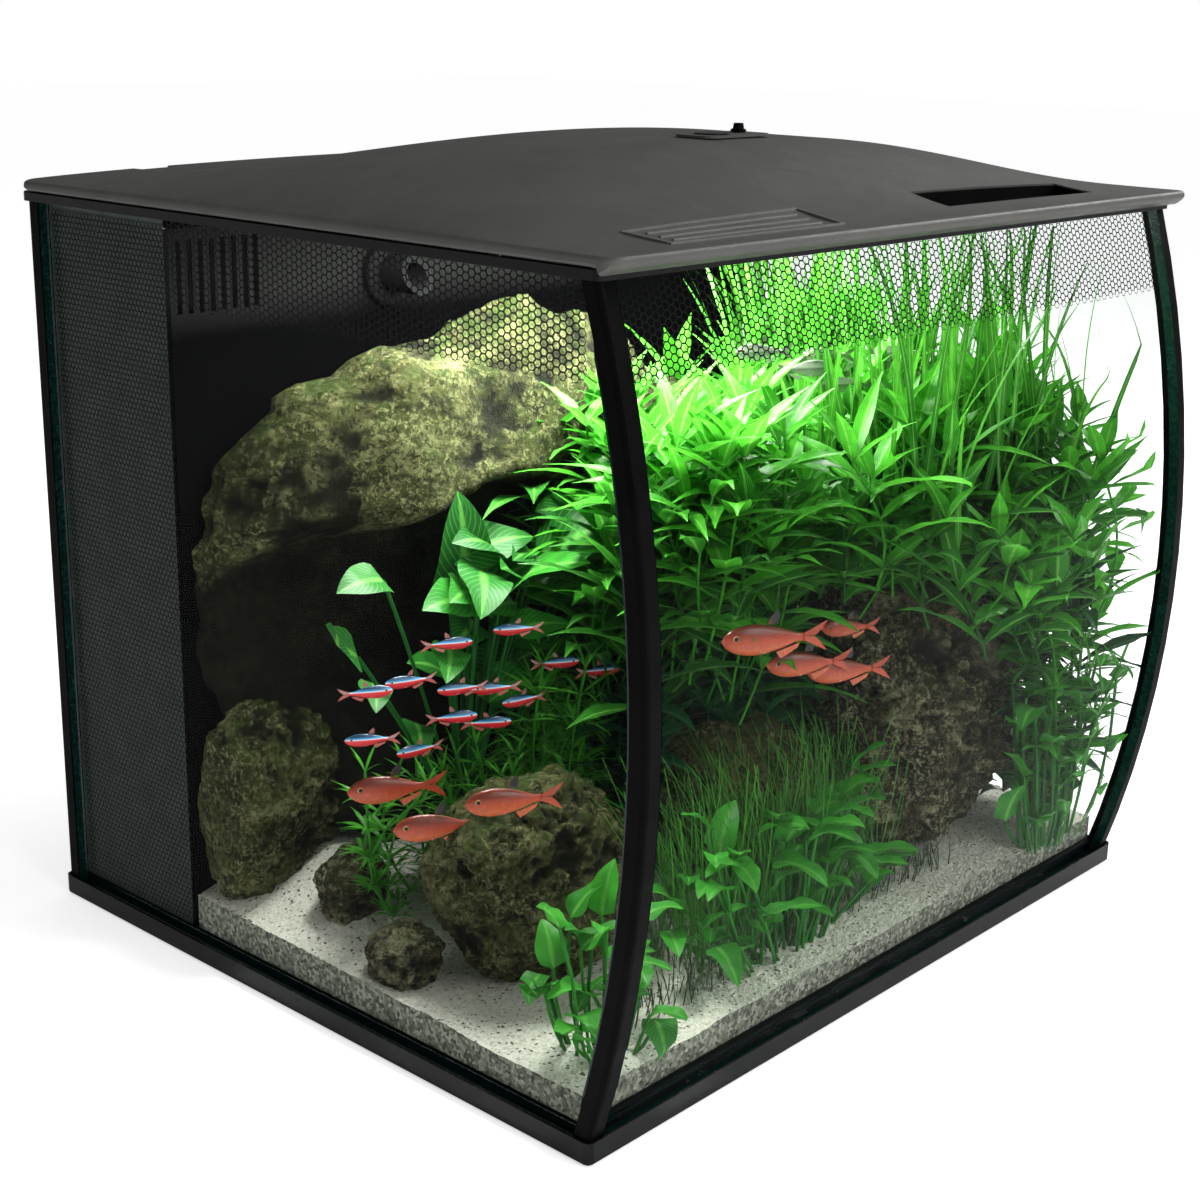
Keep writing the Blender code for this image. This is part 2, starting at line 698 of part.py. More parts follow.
def hood_shell():
    xs, ys = hood_lines()
    bm = bmesh.new()
    outer, inner = {}, {}
    for i, x in enumerate(xs):
        for j, y in enumerate(ys):
            px, py = round_corner(x, y)
            outer[i, j] = bm.verts.new((px, py, crown_z(px, py)))
            qx, qy = inner_point(px, py)
            inner[i, j] = bm.verts.new((qx, qy, crown_z(qx, qy) - SHELL))
    for i in range(len(xs) - 1):
        for j in range(len(ys) - 1):
            corners = ((i, j), (i + 1, j), (i + 1, j + 1), (i, j + 1))
            bm.faces.new([outer[c] for c in corners])
            bm.faces.new([inner[c] for c in reversed(corners)])
    path = perimeter(len(xs), len(ys))
    rings = rim_rings(bm, path, outer, inner)
    for first, second in zip(rings, rings[1:]):
        for k in range(len(path)):
            n = (k + 1) % len(path)
            bm.faces.new((first[k], first[n], second[n], second[k]))
    shell = finish("hood_shell", bm, hood_plastic(), 35)
    cut_hood(shell)
    return shell


def cut_hood(shell):
    """The feeding slot, the button's hole and a notch over each hinge."""
    low_z, high_z = LIP_BOTTOM - CUT_PAST, PANEL_TOP + CUT_PAST
    cut(shell, box("feed_opening_cutter", (*FEED_LOW, low_z), (*FEED_HIGH, high_z),
                   hood_plastic()))
    cut(shell, cylinder("button_hole_cutter", BUTTON_AT, BUTTON_R + BUTTON_CLEARANCE, low_z,
                        high_z, "Z", hood_plastic(), 20))
    for label, sign in (("left", -1), ("right", 1)):
        low_x, high_x = sorted((sign * (HINGE_X - NOTCH_HALF_W), sign * (HINGE_X + NOTCH_HALF_W)))
        cut(shell, box("hinge_notch_%s_cutter" % label, (low_x, NOTCH_Y, low_z),
                       (high_x, HOOD_REAR + CUT_PAST, high_z), hood_plastic()))


def hinge_profile(tail_y, bottom_z, top_z):
    """A flat tail that ends in a round knuckle on the hinge axis, as (y, z)."""
    start = math.pi + math.asin((HINGE_Z - bottom_z) / KNUCKLE_R)
    stop = 3 * math.pi - math.asin((top_z - HINGE_Z) / KNUCKLE_R)
    steps = 10
    points = [(tail_y, bottom_z)]
    for i in range(steps + 1):
        angle = start + (stop - start) * i / steps
        points.append((HINGE_Y + KNUCKLE_R * math.cos(angle),
                       HINGE_Z + KNUCKLE_R * math.sin(angle)))
    points.append((tail_y, top_z))
    return points


def hinge(side, sign):
    """A block on the top frame, a pin through it and a forked arm under the hood."""
    middle = sign * HINGE_X
    outline = [(HINGE_Y - KNUCKLE_R, TOP_Z + GAP), (HINGE_Y + KNUCKLE_R, TOP_Z + GAP)]
    steps = 6
    for i in range(steps + 1):
        angle = math.pi * i / steps
        outline.append((HINGE_Y + KNUCKLE_R * math.cos(angle),
                        HINGE_Z + KNUCKLE_R * math.sin(angle)))
    block = prism("%s_hinge_block" % side, outline, middle - BLOCK_HALF_W,
                  middle + BLOCK_HALF_W, "X", frame_plastic())
    arm = prism("%s_hinge_arm" % side, hinge_profile(ARM_TAIL_Y, *ARM_Z), middle - ARM_HALF_W,
                middle + ARM_HALF_W, "X", hood_plastic())
    fork = box("hinge_fork_%s_cutter" % side, (middle - FORK_HALF_W, FORK_Y, HINGE_Z - CUT_PAST),
               (middle + FORK_HALF_W, HOOD_REAR + CUT_PAST, HINGE_Z + CUT_PAST), hood_plastic())
    cut(arm, fork)
    for obj, label in ((block, "block"), (arm, "arm")):
        hole = cylinder("pin_hole_%s_%s_cutter" % (side, label), (HINGE_Y, HINGE_Z),
                        PIN_R + PIN_CLEARANCE, middle - 2 * ARM_HALF_W, middle + 2 * ARM_HALF_W,
                        "X", hood_plastic(), 12)
        cut(obj, hole)
    steel = material("stainless_pin", (0.6, 0.6, 0.6), 0.3, metallic=1.0)
    cylinder("%s_hinge_pin" % side, (HINGE_Y, HINGE_Z), PIN_R, middle - ARM_HALF_W,
             middle + ARM_HALF_W, "X", steel, 12)
    return arm


def led_lamp():
    """A channel under the crown with the LED board and the splash lens in it."""
    aluminium = material("anodised_aluminium", (0.35, 0.35, 0.36), 0.4, metallic=1.0)
    front, rear = LED_LOW[1], LED_HIGH[1]
    bottom, top = LED_Z
    channel = [(front, bottom), (front, top), (rear, top), (rear, bottom),
               (rear - LED_WALL, bottom), (rear - LED_WALL, top - LED_WALL),
               (front + LED_WALL, top - LED_WALL), (front + LED_WALL, bottom)]
    parts = [prism("led_housing", channel, LED_LOW[0], LED_HIGH[0], "X", aluminium)]
    inside_low = (LED_LOW[0] + LED_END_GAP, front + LED_WALL + GAP)
    inside_high = (LED_HIGH[0] - LED_END_GAP, rear - LED_WALL - GAP)
    board_top = top - LED_WALL - GAP
    parts.append(box("led_board", (*inside_low, board_top - BOARD_THICK),
                     (*inside_high, board_top),
                     material("circuit_board", (0.8, 0.8, 0.78), 0.5)))
    parts.append(box("led_lens", (*inside_low, bottom + GAP),
                     (*inside_high, bottom + GAP + LENS_THICK), glass()))
    bracket_top = crown_z(BRACKET_HALF_W, BRACKET_Y[0]) - SHELL - 2 * GAP
    parts.append(box("led_bracket", (-BRACKET_HALF_W, BRACKET_Y[0], top + GAP),
                     (BRACKET_HALF_W, BRACKET_Y[1], bracket_top), hood_plastic()))
    return parts


def rounded_plate(name, low, high, z_low, z_high, radius, mat):
    """A flat plate with rounded corners; low and high are its corners in plan."""
    points = []
    corners = ((high[0] - radius, low[1] + radius, -90), (high[0] - radius, high[1] - radius, 0),
               (low[0] + radius, high[1] - radius, 90), (low[0] + radius, low[1] + radius, 180))
    steps = 4
    for cx, cy, start in corners:
        for step in range(steps + 1):
            angle = math.radians(start + 90 * step / steps)
            points.append((cx + radius * math.cos(angle), cy + radius * math.sin(angle)))
    return prism(name, points, z_low, z_high, "Z", mat, 40)


def cable_gland():
    """The tapered grommet in the crown."""
    sides = 14
    section = ((GLAND_R, PANEL_TOP + GAP), (GLAND_R, GLAND_SHOULDER_Z),
               (GLAND_NECK_R, GLAND_NECK_Z), (GLAND_TIP_R, GLAND_TOP))
    loops = []
    for radius, z in section:
        loop = []
        for i in range(sides):
            angle = 2 * math.pi * i / sides
            loop.append((GLAND_AT[0] + radius * math.cos(angle),
                         GLAND_AT[1] + radius * math.sin(angle), z))
        loops.append(loop)
    bm = bmesh.new()
    rows = loft_loops(bm, loops, False)
    bm.faces.new(rows[0])
    bm.faces.new(rows[-1])
    return finish("cable_gland", bm, silicone(), 40)


def control_panel():
    """The touch panel on the crown and its button."""
    panel = rounded_plate("control_panel", PANEL_LOW, PANEL_HIGH, PANEL_Z, PANEL_TOP,
                          PANEL_CORNER, hood_plastic())
    cut(panel, cylinder("panel_hole_cutter", BUTTON_AT, BUTTON_R + GAP, PANEL_Z - CUT_PAST,
                        PANEL_TOP + CUT_PAST, "Z", hood_plastic(), 24))
    button = cylinder("touch_button", BUTTON_AT, BUTTON_R, PANEL_TOP - GAP,
                      PANEL_TOP + BUTTON_PROUD, "Z", frame_plastic(), 24)
    set_origin(button, (*BUTTON_AT, PANEL_TOP))
    return [panel, button]


def hood():
    """Everything that lifts with the hood, under one empty on the hinge axis."""
    pivot = bpy.data.objects.new("hood_pivot", None)
    pivot.location = (0.0, HINGE_Y, HINGE_Z)
    bpy.context.scene.collection.objects.link(pivot)
    lifted = [hood_shell(), hinge("left", -1), hinge("right", 1), cable_gland()]
    lifted += led_lamp() + control_panel()
    for obj in lifted:
        obj.parent = pivot
        obj.location = Vector(obj.location) - Vector(pivot.location)


# What grows and lies in the display

def sand_height(x, y):
    """The top of the sand: level at the glass, banked up towards the partition."""
    slope = SAND_SLOPE * smoothstep((y + 0.17) / 0.25)
    bank = SAND_BANK * smoothstep((y + 0.06) / 0.13) * smoothstep((HALF_W - abs(x)) / 0.06)
    ripple = SAND_RIPPLE * math.sin(38 * x + 1.0) * math.sin(44 * y)
    return SAND_FRONT_Z + slope + bank + ripple


def sand_bed():
    columns, rows = 20, 14
    bottom = FLOOR_TOP + GAP
    bm = bmesh.new()
    top = {}
    for i in range(columns + 1):
        for j in range(rows + 1):
            x = -SAND_LEFT + 2 * SAND_LEFT * i / columns
            y = SAND_FRONT + (SAND_BACK - SAND_FRONT) * j / rows
            top[i, j] = bm.verts.new((x, y, sand_height(x, y)))
    for i in range(columns):
        for j in range(rows):
            bm.faces.new((top[i, j], top[i + 1, j], top[i + 1, j + 1], top[i, j + 1]))
    path = perimeter(columns + 1, rows + 1)
    edge = [top[c] for c in path]
    base = [bm.verts.new((v.co.x, v.co.y, bottom)) for v in edge]
    for k in range(len(path)):
        n = (k + 1) % len(path)
        bm.faces.new((edge[n], edge[k], base[k], base[n]))
    bm.faces.new(base)
    return finish("sand_bed", bm, material("pale_sand", (0.62, 0.58, 0.50), 0.95), 60)


def lump(name, centre, radii, mat, seed, wobble=0.0, subdivisions=2, undercut=0.0):
    """A closed rounded body with a noisy surface that stays clear above the sand."""
    bm = bmesh.new()
    bmesh.ops.create_icosphere(bm, subdivisions=subdivisions, radius=1.0)
    shift = Vector((seed * 3.1, seed * 1.7, seed * 2.3))
    for vert in bm.verts:
        unit = vert.co.copy()
        swell = 1 + wobble * noise.noise(unit * NOISE_SCALE + shift)
        below = max(-unit.z, 0.0)
        narrow = 1 - undercut * below
        x = centre[0] + radii[0] * unit.x * swell * narrow + OVERHANG * undercut * below
        y = centre[1] + radii[1] * unit.y * swell
        z = centre[2] + radii[2] * unit.z * swell
        vert.co = (x, y, max(z, sand_height(x, y) + LAYOUT_CLEARANCE))
    return finish(name, bm, mat, 60)


def stones():
    mossy = material("mossy_stone", (0.16, 0.17, 0.08), 0.9)
    dark = material("dark_stone", (0.10, 0.10, 0.06), 0.9)
    lump("back_boulder", centre=(-0.020, 0.0450, 0.170), radii=(0.165, 0.037, 0.118),
         mat=mossy, seed=1, wobble=0.12, subdivisions=3, undercut=0.25)
    lump("left_boulder", centre=(-0.163, 0.0590, 0.074), radii=(0.034, 0.024, 0.043),
         mat=mossy, seed=2, wobble=0.16)
    lump("centre_stone", centre=(-0.130, -0.0650, 0.064), radii=(0.050, 0.040, 0.044),
         mat=dark, seed=3, wobble=0.22)
    lump("middle_stone", centre=(0.005, -0.0700, 0.066), radii=(0.037, 0.032, 0.042),
         mat=dark, seed=4, wobble=0.20)
    lump("right_boulder", centre=(0.115, -0.0950, 0.086), radii=(0.060, 0.041, 0.074),
         mat=dark, seed=5, wobble=0.16)


def plants():
    """Each plant as the rounded space its leaves fill."""
    leaf = material("leaf_green", (0.05, 0.30, 0.03), 0.5)
    lump("front_anubias", centre=(-0.050, -0.1400, 0.052), radii=(0.058, 0.014, 0.022),
         mat=leaf, seed=11)
    lump("corner_anubias", centre=(-0.168, -0.1350, 0.062), radii=(0.022, 0.017, 0.032),
         mat=leaf, seed=12)
    lump("right_anubias", centre=(0.150, -0.1580, 0.070), radii=(0.028, 0.009, 0.034),
         mat=leaf, seed=13)
    lump("tall_anubias", centre=(-0.140, -0.0060, 0.160), radii=(0.045, 0.011, 0.040),
         mat=leaf, seed=14)
    lump("left_stem_plant", centre=(-0.100, -0.0020, 0.078), radii=(0.048, 0.013, 0.032),
         mat=leaf, seed=15)
    lump("stem_plant_thicket", centre=(0.080, -0.0350, 0.192), radii=(0.100, 0.030, 0.050),
         mat=leaf, seed=16)
    lump("ribbon_grass", centre=(0.178, 0.0300, 0.180), radii=(0.013, 0.042, 0.105),
         mat=leaf, seed=17)


def build():
    clear_scene()
    glass_panes()
    corner_seams()
    plastic_frames()
    filter_partition()
    baffles()
    foam_filters()
    media_stack()
    pump()
    outlet_lines()
    nozzles()
    hood()
    sand_bed()
    stones()
    plants()


build()
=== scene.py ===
import math
import random

import bmesh
import bpy
from mathutils import Matrix, Vector, noise


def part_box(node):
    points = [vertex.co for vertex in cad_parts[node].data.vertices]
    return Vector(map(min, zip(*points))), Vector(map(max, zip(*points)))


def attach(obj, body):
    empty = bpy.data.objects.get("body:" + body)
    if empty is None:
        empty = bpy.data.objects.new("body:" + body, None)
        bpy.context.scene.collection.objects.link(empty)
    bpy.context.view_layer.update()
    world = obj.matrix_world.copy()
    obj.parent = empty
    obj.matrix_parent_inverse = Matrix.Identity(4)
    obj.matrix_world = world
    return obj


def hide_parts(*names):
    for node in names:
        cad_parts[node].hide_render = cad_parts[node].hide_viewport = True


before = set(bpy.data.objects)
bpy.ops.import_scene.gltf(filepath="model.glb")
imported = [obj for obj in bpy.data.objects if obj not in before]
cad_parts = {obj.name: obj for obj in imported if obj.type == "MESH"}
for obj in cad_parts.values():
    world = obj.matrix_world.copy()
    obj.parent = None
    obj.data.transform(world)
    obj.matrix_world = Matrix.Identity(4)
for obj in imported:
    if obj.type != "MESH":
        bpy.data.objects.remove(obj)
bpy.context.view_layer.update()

# The glass box, read from the frame
LEFT_LOW, LEFT_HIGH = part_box("left_glass")
FRONT_LOW, FRONT_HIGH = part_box("front_glass")
HALF_W = -LEFT_LOW.x
GLASS = LEFT_HIGH.x - LEFT_LOW.x
WALL_LOW, WALL_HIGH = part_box("filter_partition")
REAR_LOW, REAR_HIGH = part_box("rear_glass")
SAND_LOW, SAND_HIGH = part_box("sand_bed")
HOOD_LOW, HOOD_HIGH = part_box("hood_shell")
BULGE_RADIUS = 0.5567
BULGE_MID_Z = 0.1728
CLEAR_OF_GLASS = 0.0012
INSIDE_X = HALF_W - GLASS - CLEAR_OF_GLASS
INSIDE_TOP = 0.3405
CLEAR_OF_WALL = 0.001


def smoothstep(value):
    t = min(max(value, 0.0), 1.0)
    return t * t * (3 - 2 * t)


def mix(a, b, t):
    return a + (b - a) * t


def front_face_y(z):
    """The outer face of the curved front glass at a height."""
    rise = z - BULGE_MID_Z
    return FRONT_LOW.y + BULGE_RADIUS - math.sqrt(BULGE_RADIUS ** 2 - rise ** 2)


def sand_height(x, y):
    """The top of the sand, as the frame has it."""
    slope = 0.004 * smoothstep((y + 0.17) / 0.25)
    bank = 0.018 * smoothstep((y + 0.06) / 0.13) * smoothstep((HALF_W - abs(x)) / 0.06)
    ripple = 0.001 * math.sin(38 * x + 1.0) * math.sin(44 * y)
    return 0.0245 + slope + bank + ripple


def inside(point):
    """Keep a point of a plant clear of the glass, the partition, the sand and the hood."""
    z = min(max(point.z, 0.012), INSIDE_TOP)
    front = front_face_y(z) + GLASS + CLEAR_OF_GLASS
    x = min(max(point.x, -INSIDE_X), INSIDE_X)
    y = min(max(point.y, front), WALL_LOW.y - CLEAR_OF_WALL)
    return Vector((x, y, z))


# Shader helpers

class Shade:
    """Nodes of one material, added in short calls."""

    def __init__(self, name):
        self.mat = bpy.data.materials.new(name)
        self.mat.use_nodes = True
        self.tree = self.mat.node_tree
        self.main = self.tree.nodes["Principled BSDF"]
        self.out = self.tree.nodes["Material Output"]
        self.place = self.tree.nodes.new("ShaderNodeTexCoord").outputs["Object"]

    def node(self, kind, **settings):
        made = self.tree.nodes.new("ShaderNode" + kind)
        for key, value in settings.items():
            setattr(made, key, value)
        return made

    def link(self, source, target):
        self.tree.links.new(source, target)

    def set(self, **values):
        for key, value in values.items():
            name = key.replace("_", " ").title().replace("Ior", "IOR")
            self.main.inputs[name].default_value = value

    def noise(self, scale, detail=4.0, rough=0.55, stretch=None, distortion=0.0):
        made = self.node("TexNoise")
        made.inputs["Scale"].default_value = scale
        made.inputs["Detail"].default_value = detail
        made.inputs["Roughness"].default_value = rough
        made.inputs["Distortion"].default_value = distortion
        self.link(self.stretched(stretch), made.inputs["Vector"])
        return made.outputs["Fac"]

    def stretched(self, stretch):
        if stretch is None:
            return self.place
        mapping = self.node("Mapping")
        mapping.inputs["Scale"].default_value = stretch
        self.link(self.place, mapping.inputs["Vector"])
        return mapping.outputs["Vector"]

    def voronoi(self, scale, feature="F1", output="Distance", stretch=None):
        made = self.node("TexVoronoi", feature=feature)
        made.inputs["Scale"].default_value = scale
        self.link(self.stretched(stretch), made.inputs["Vector"])
        return made.outputs[output]

    def ramp(self, source, stops):
        """A colour ramp; each stop is (place, grey or colour)."""
        made = self.node("ValToRGB")
        band = made.color_ramp
        while len(band.elements) < len(stops):
            band.elements.new(0.5)
        for element, (place, value) in zip(band.elements, stops):
            color = (value,) * 3 if isinstance(value, (int, float)) else value
            element.position = place
            element.color = (*color, 1.0)
        self.link(source, made.inputs["Fac"])
        return made.outputs["Color"]

    def blend(self, factor, first, second, kind="MIX"):
        """Mix two colours; each is a socket or a colour, and the factor a socket or number."""
        made = self.node("Mix", data_type="RGBA", blend_type=kind)
        for value, socket in ((factor, made.inputs[0]), (first, made.inputs[6]),
                              (second, made.inputs[7])):
            if isinstance(value, bpy.types.NodeSocket):
                self.link(value, socket)
            elif isinstance(value, (int, float)):
                socket.default_value = value
            else:
                socket.default_value = (*value, 1.0)
        return made.outputs[2]

    def math(self, operation, first, second=0.0):
        made = self.node("Math", operation=operation)
        for value, socket in ((first, made.inputs[0]), (second, made.inputs[1])):
            if isinstance(value, bpy.types.NodeSocket):
                self.link(value, socket)
            else:
                socket.default_value = value
        return made.outputs[0]

    def bump(self, source, strength, distance=0.001):
        made = self.node("Bump")
        made.inputs["Strength"].default_value = strength
        made.inputs["Distance"].default_value = distance
        self.link(source, made.inputs["Height"])
        self.link(made.outputs["Normal"], self.main.inputs["Normal"])
        return made

    def tones(self):
        """The three values that a mesh keeps at each point in its colour attribute."""
        attribute = self.node("Attribute", attribute_name="tone")
        split = self.node("SeparateColor")
        self.link(attribute.outputs["Color"], split.inputs["Color"])
        return split.outputs[0], split.outputs[1], split.outputs[2]


def plastic(name, color, rough, grain_scale, grain, fleck=0.15, shine=0.2):
    """Moulded plastic: a fine grain, a slightly uneven gloss and faint dust in the colour."""
    s = Shade(name)
    s.set(specular_ior_level=shine)
    cloud = s.noise(35.0, 3.0)
    light = tuple(min(c * (1 + fleck) + 0.0012, 1.0) for c in color)
    s.link(s.ramp(cloud, [(0.35, color), (0.7, light)]), s.main.inputs["Base Color"])
    s.link(s.ramp(s.noise(90.0, 4.0), [(0.3, rough - 0.05), (0.7, rough + 0.07)]),
           s.main.inputs["Roughness"])
    s.bump(s.noise(grain_scale, 2.0, 0.6), grain, 0.0004)
    return s.mat


def wall_material():
    """Black plastic that is paler at its top, where the light falls through the slots."""
    s = Shade("partition_black")
    height = s.node("SeparateXYZ")
    s.link(s.place, height.inputs[0])
    share = s.math("MULTIPLY", height.outputs[2], 1 / WALL_HIGH.z)
    s.link(s.ramp(share, [(0.86, (0.0012, 0.0012, 0.0013)), (0.91, (0.013, 0.013, 0.0125))]),
           s.main.inputs["Base Color"])
    s.link(s.ramp(s.noise(90.0, 4.0), [(0.3, 0.62), (0.7, 0.80)]), s.main.inputs["Roughness"])
    s.set(specular_ior_level=0.0)
    s.bump(s.noise(800.0, 2.0, 0.6), 0.12, 0.0004)
    return s.mat


def glass_material():
    """Clear float glass: a faint tint and a weak reflection that grows at grazing angles."""
    s = Shade("float_glass")
    clear = s.node("BsdfTransparent")
    clear.inputs["Color"].default_value = (0.985, 0.995, 0.99, 1.0)
    gloss = s.node("BsdfGlossy")
    gloss.inputs["Roughness"].default_value = 0.02
    fresnel = s.node("Fresnel")
    fresnel.inputs["IOR"].default_value = 1.11
    outward = s.math("SUBTRACT", 1.0, s.node("NewGeometry").outputs["Backfacing"])
    smears = s.ramp(s.noise(14.0, 5.0, 0.6), [(0.40, 0.015), (0.75, 0.05)])
    s.link(smears, gloss.inputs["Roughness"])
    pane = s.node("MixShader")
    s.link(s.math("MULTIPLY", fresnel.outputs[0], outward), pane.inputs[0])
    s.link(clear.outputs[0], pane.inputs[1])
    s.link(gloss.outputs[0], pane.inputs[2])
    s.link(pane.outputs[0], s.out.inputs["Surface"])
    return s.mat


def glass_edge_material():
    """The ground edge of a pane, deep blue green with small chips."""
    s = Shade("glass_edge")
    chips = s.noise(420.0, 5.0, 0.7)
    s.link(s.ramp(chips, [(0.35, (0.001, 0.010, 0.009)), (0.7, (0.003, 0.035, 0.030))]),
           s.main.inputs["Base Color"])
    s.set(roughness=0.2)
    s.bump(chips, 0.2, 0.0004)
    return s.mat


def rock_material(name, dark, middle, light, moss, moss_share):
    """Rough stone: clouds of tone, pale mineral flecks, black pits and moss, with painted shade in
    its creases and under the boulder's brow.
    """
    s = Shade(name)
    crevice_light, brow_shade, _ = s.tones()
    layers = s.noise(38.0, 8.0, 0.62, (1.0, 1.0, 1.8), 0.7)
    base = s.ramp(layers, [(0.32, dark), (0.52, middle), (0.72, light)])
    flecks = s.noise(390.0, 7.0, 0.75, None, 0.5)
    patches = s.ramp(s.noise(60.0, 4.0, 0.6), [(0.36, 0.15), (0.60, 1.0)])
    pale = s.math("MULTIPLY", s.ramp(flecks, [(0.50, 0.0), (0.57, 1.0)]), patches)
    base = s.blend(pale, base, light)
    pits = s.ramp(s.noise(360.0, 5.0, 0.7, None, 1.0), [(0.40, 0.9), (0.50, 0.0)])
    base = s.blend(pits, base, dark)
    split = s.node("SeparateXYZ")
    s.link(s.node("NewGeometry").outputs["Normal"], split.inputs[0])
    up = s.math("MULTIPLY", s.math("MAXIMUM", split.outputs[2], 0.0), moss_share)
    growth = s.ramp(s.noise(95.0, 7.0, 0.7), [(0.44, 0.0), (0.56, 1.0)])
    base = s.blend(s.math("MULTIPLY", up, growth), base, moss)
    # Painted shade: creases and the face under the brow are darkened towards a near-black copy of
    # the dark tone.
    deep = tuple(c * 0.15 for c in dark)
    base = s.blend(s.ramp(crevice_light, [(0.22, 0.9), (0.50, 0.0)]), base, deep)
    base = s.blend(s.math("MULTIPLY", brow_shade, 0.93), base, deep)
    s.link(base, s.main.inputs["Base Color"])
    s.set(roughness=0.9, specular_ior_level=0.15)
    s.bump(flecks, 1.0, 0.0030)
    return s.mat


def sand_material():
    """Pale grains with dark specks on top, and a coarser cut face behind the glass, darker with
    painted shade.
    """
    s = Shade("sand_grains")
    grains = s.voronoi(900.0, output="Color")
    split = s.node("SeparateColor")
    s.link(grains, split.inputs["Color"])
    shade = s.ramp(split.outputs[0], [(0.0, (0.50, 0.47, 0.38)), (0.12, (0.66, 0.64, 0.54)),
                                      (1.0, (0.86, 0.85, 0.77))])
    specks = s.ramp(split.outputs[1], [(0.955, 0.0), (0.965, 1.0)])
    top = s.blend(specks, shade, (0.10, 0.09, 0.06))
    top = s.blend(s.ramp(s.noise(26.0, 4.0), [(0.45, 0.0), (0.75, 0.35)]), top,
                  (0.42, 0.41, 0.30))
    coarse = s.voronoi(620.0, output="Color")
    pick = s.node("SeparateColor")
    s.link(coarse, pick.inputs["Color"])
    shaded_cut_face = s.ramp(pick.outputs[0], [(0.0, (0.035, 0.040, 0.030)), (0.5, (0.14, 0.15, 0.115)),
                                        (1.0, (0.34, 0.35, 0.28))])
    # The upright faces take the darker colour: painted shade on the faces turned away from the
    # light above.
    normal = s.node("SeparateXYZ")
    s.link(s.node("NewGeometry").outputs["True Normal"], normal.inputs[0])
    level = s.ramp(normal.outputs[2], [(0.25, 0.0), (0.45, 1.0)])
    s.link(s.blend(level, shaded_cut_face, top), s.main.inputs["Base Color"])
    s.set(roughness=0.9)
    s.bump(s.voronoi(900.0), 0.6, 0.0008)
    return s.mat


def leaf_material(name, deep, fresh, rib, shine=0.35, through=0.35):
    """A thin leaf: the tone attribute gives the place along it, across it and its own shade."""
    s = Shade(name)
    along, across, own = s.tones()
    blade = s.blend(own, deep, fresh)
    blade = s.blend(s.ramp(along, [(0.0, 0.45), (0.35, 0.0)]), blade, deep)
    veins = s.node("TexWave", wave_type="BANDS", bands_direction="X")
    veins.inputs["Scale"].default_value = 1.0
    veins.inputs["Distortion"].default_value = 1.5
    combine = s.node("CombineXYZ")
    slant = s.math("SUBTRACT", s.math("MULTIPLY", along, 3.4),
                   s.math("ABSOLUTE", s.math("MULTIPLY", s.math("SUBTRACT", across, 0.5), 2.4)))
    s.link(slant, combine.inputs[0])
    s.link(combine.outputs[0], veins.inputs["Vector"])
    blade = s.blend(s.ramp(veins.outputs["Fac"], [(0.80, 0.0), (0.97, 0.35)]), blade, rib)
    middle = s.math("ABSOLUTE", s.math("SUBTRACT", across, 0.5))
    blade = s.blend(s.ramp(middle, [(0.03, 0.75), (0.10, 0.0)]), blade, rib)
    blotch = s.noise(130.0, 4.0)
    blade = s.blend(s.ramp(blotch, [(0.48, 0.0), (0.70, 0.45)]), blade, deep)
    s.link(blade, s.main.inputs["Base Color"])
    s.set(roughness=shine, specular_ior_level=0.22)
    s.bump(s.noise(420.0, 3.0), 0.25, 0.0004)
    glow = s.node("BsdfTranslucent")
    s.link(blade, glow.inputs["Color"])
    both = s.node("MixShader")
    both.inputs[0].default_value = through
    s.link(s.main.outputs[0], both.inputs[1])
    s.link(glow.outputs[0], both.inputs[2])
    s.link(both.outputs[0], s.out.inputs["Surface"])
    return s.mat


# Meshes

class Builder:
    """Collects points, faces and a tone colour at each point."""

    def __init__(self):
        self.points, self.faces, self.tones = [], [], []

    def add(self, point, tone=(0.5, 0.5, 0.5)):
        self.points.append(tuple(point))
        self.tones.append((*tone, 1.0))
        return len(self.points) - 1

    def strip(self, rows, wrap=False):
        """Quads between rows of point indices."""
        for first, second in zip(rows, rows[1:]):
            count = len(first)
            for i in range(count if wrap else count - 1):
                j = (i + 1) % count
                self.faces.append((first[i], first[j], second[j], second[i]))

    def make(self, name, mats, smooth=True):
        mesh = bpy.data.meshes.new(name)
        mesh.from_pydata(self.points, [], self.faces)
        tone = mesh.color_attributes.new("tone", "FLOAT_COLOR", "POINT")
        tone.data.foreach_set("color", [value for color in self.tones for value in color])
        for mat in mats:
            mesh.materials.append(mat)
        if smooth:
            mesh.shade_smooth()
        obj = bpy.data.objects.new(name, mesh)
        bpy.context.scene.collection.objects.link(obj)
        return obj


def place_piece(obj, body, slot, *nodes):
    """Let a piece ride on a body and stand in for its nodes; the slot is not used."""
    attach(obj, body)
    if nodes:
        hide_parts(*nodes)
    return obj


# Plants

LANCE = (0.75, 1.25)
OVATE = (0.55, 0.75)
RIBBON = (0.25, 0.45)


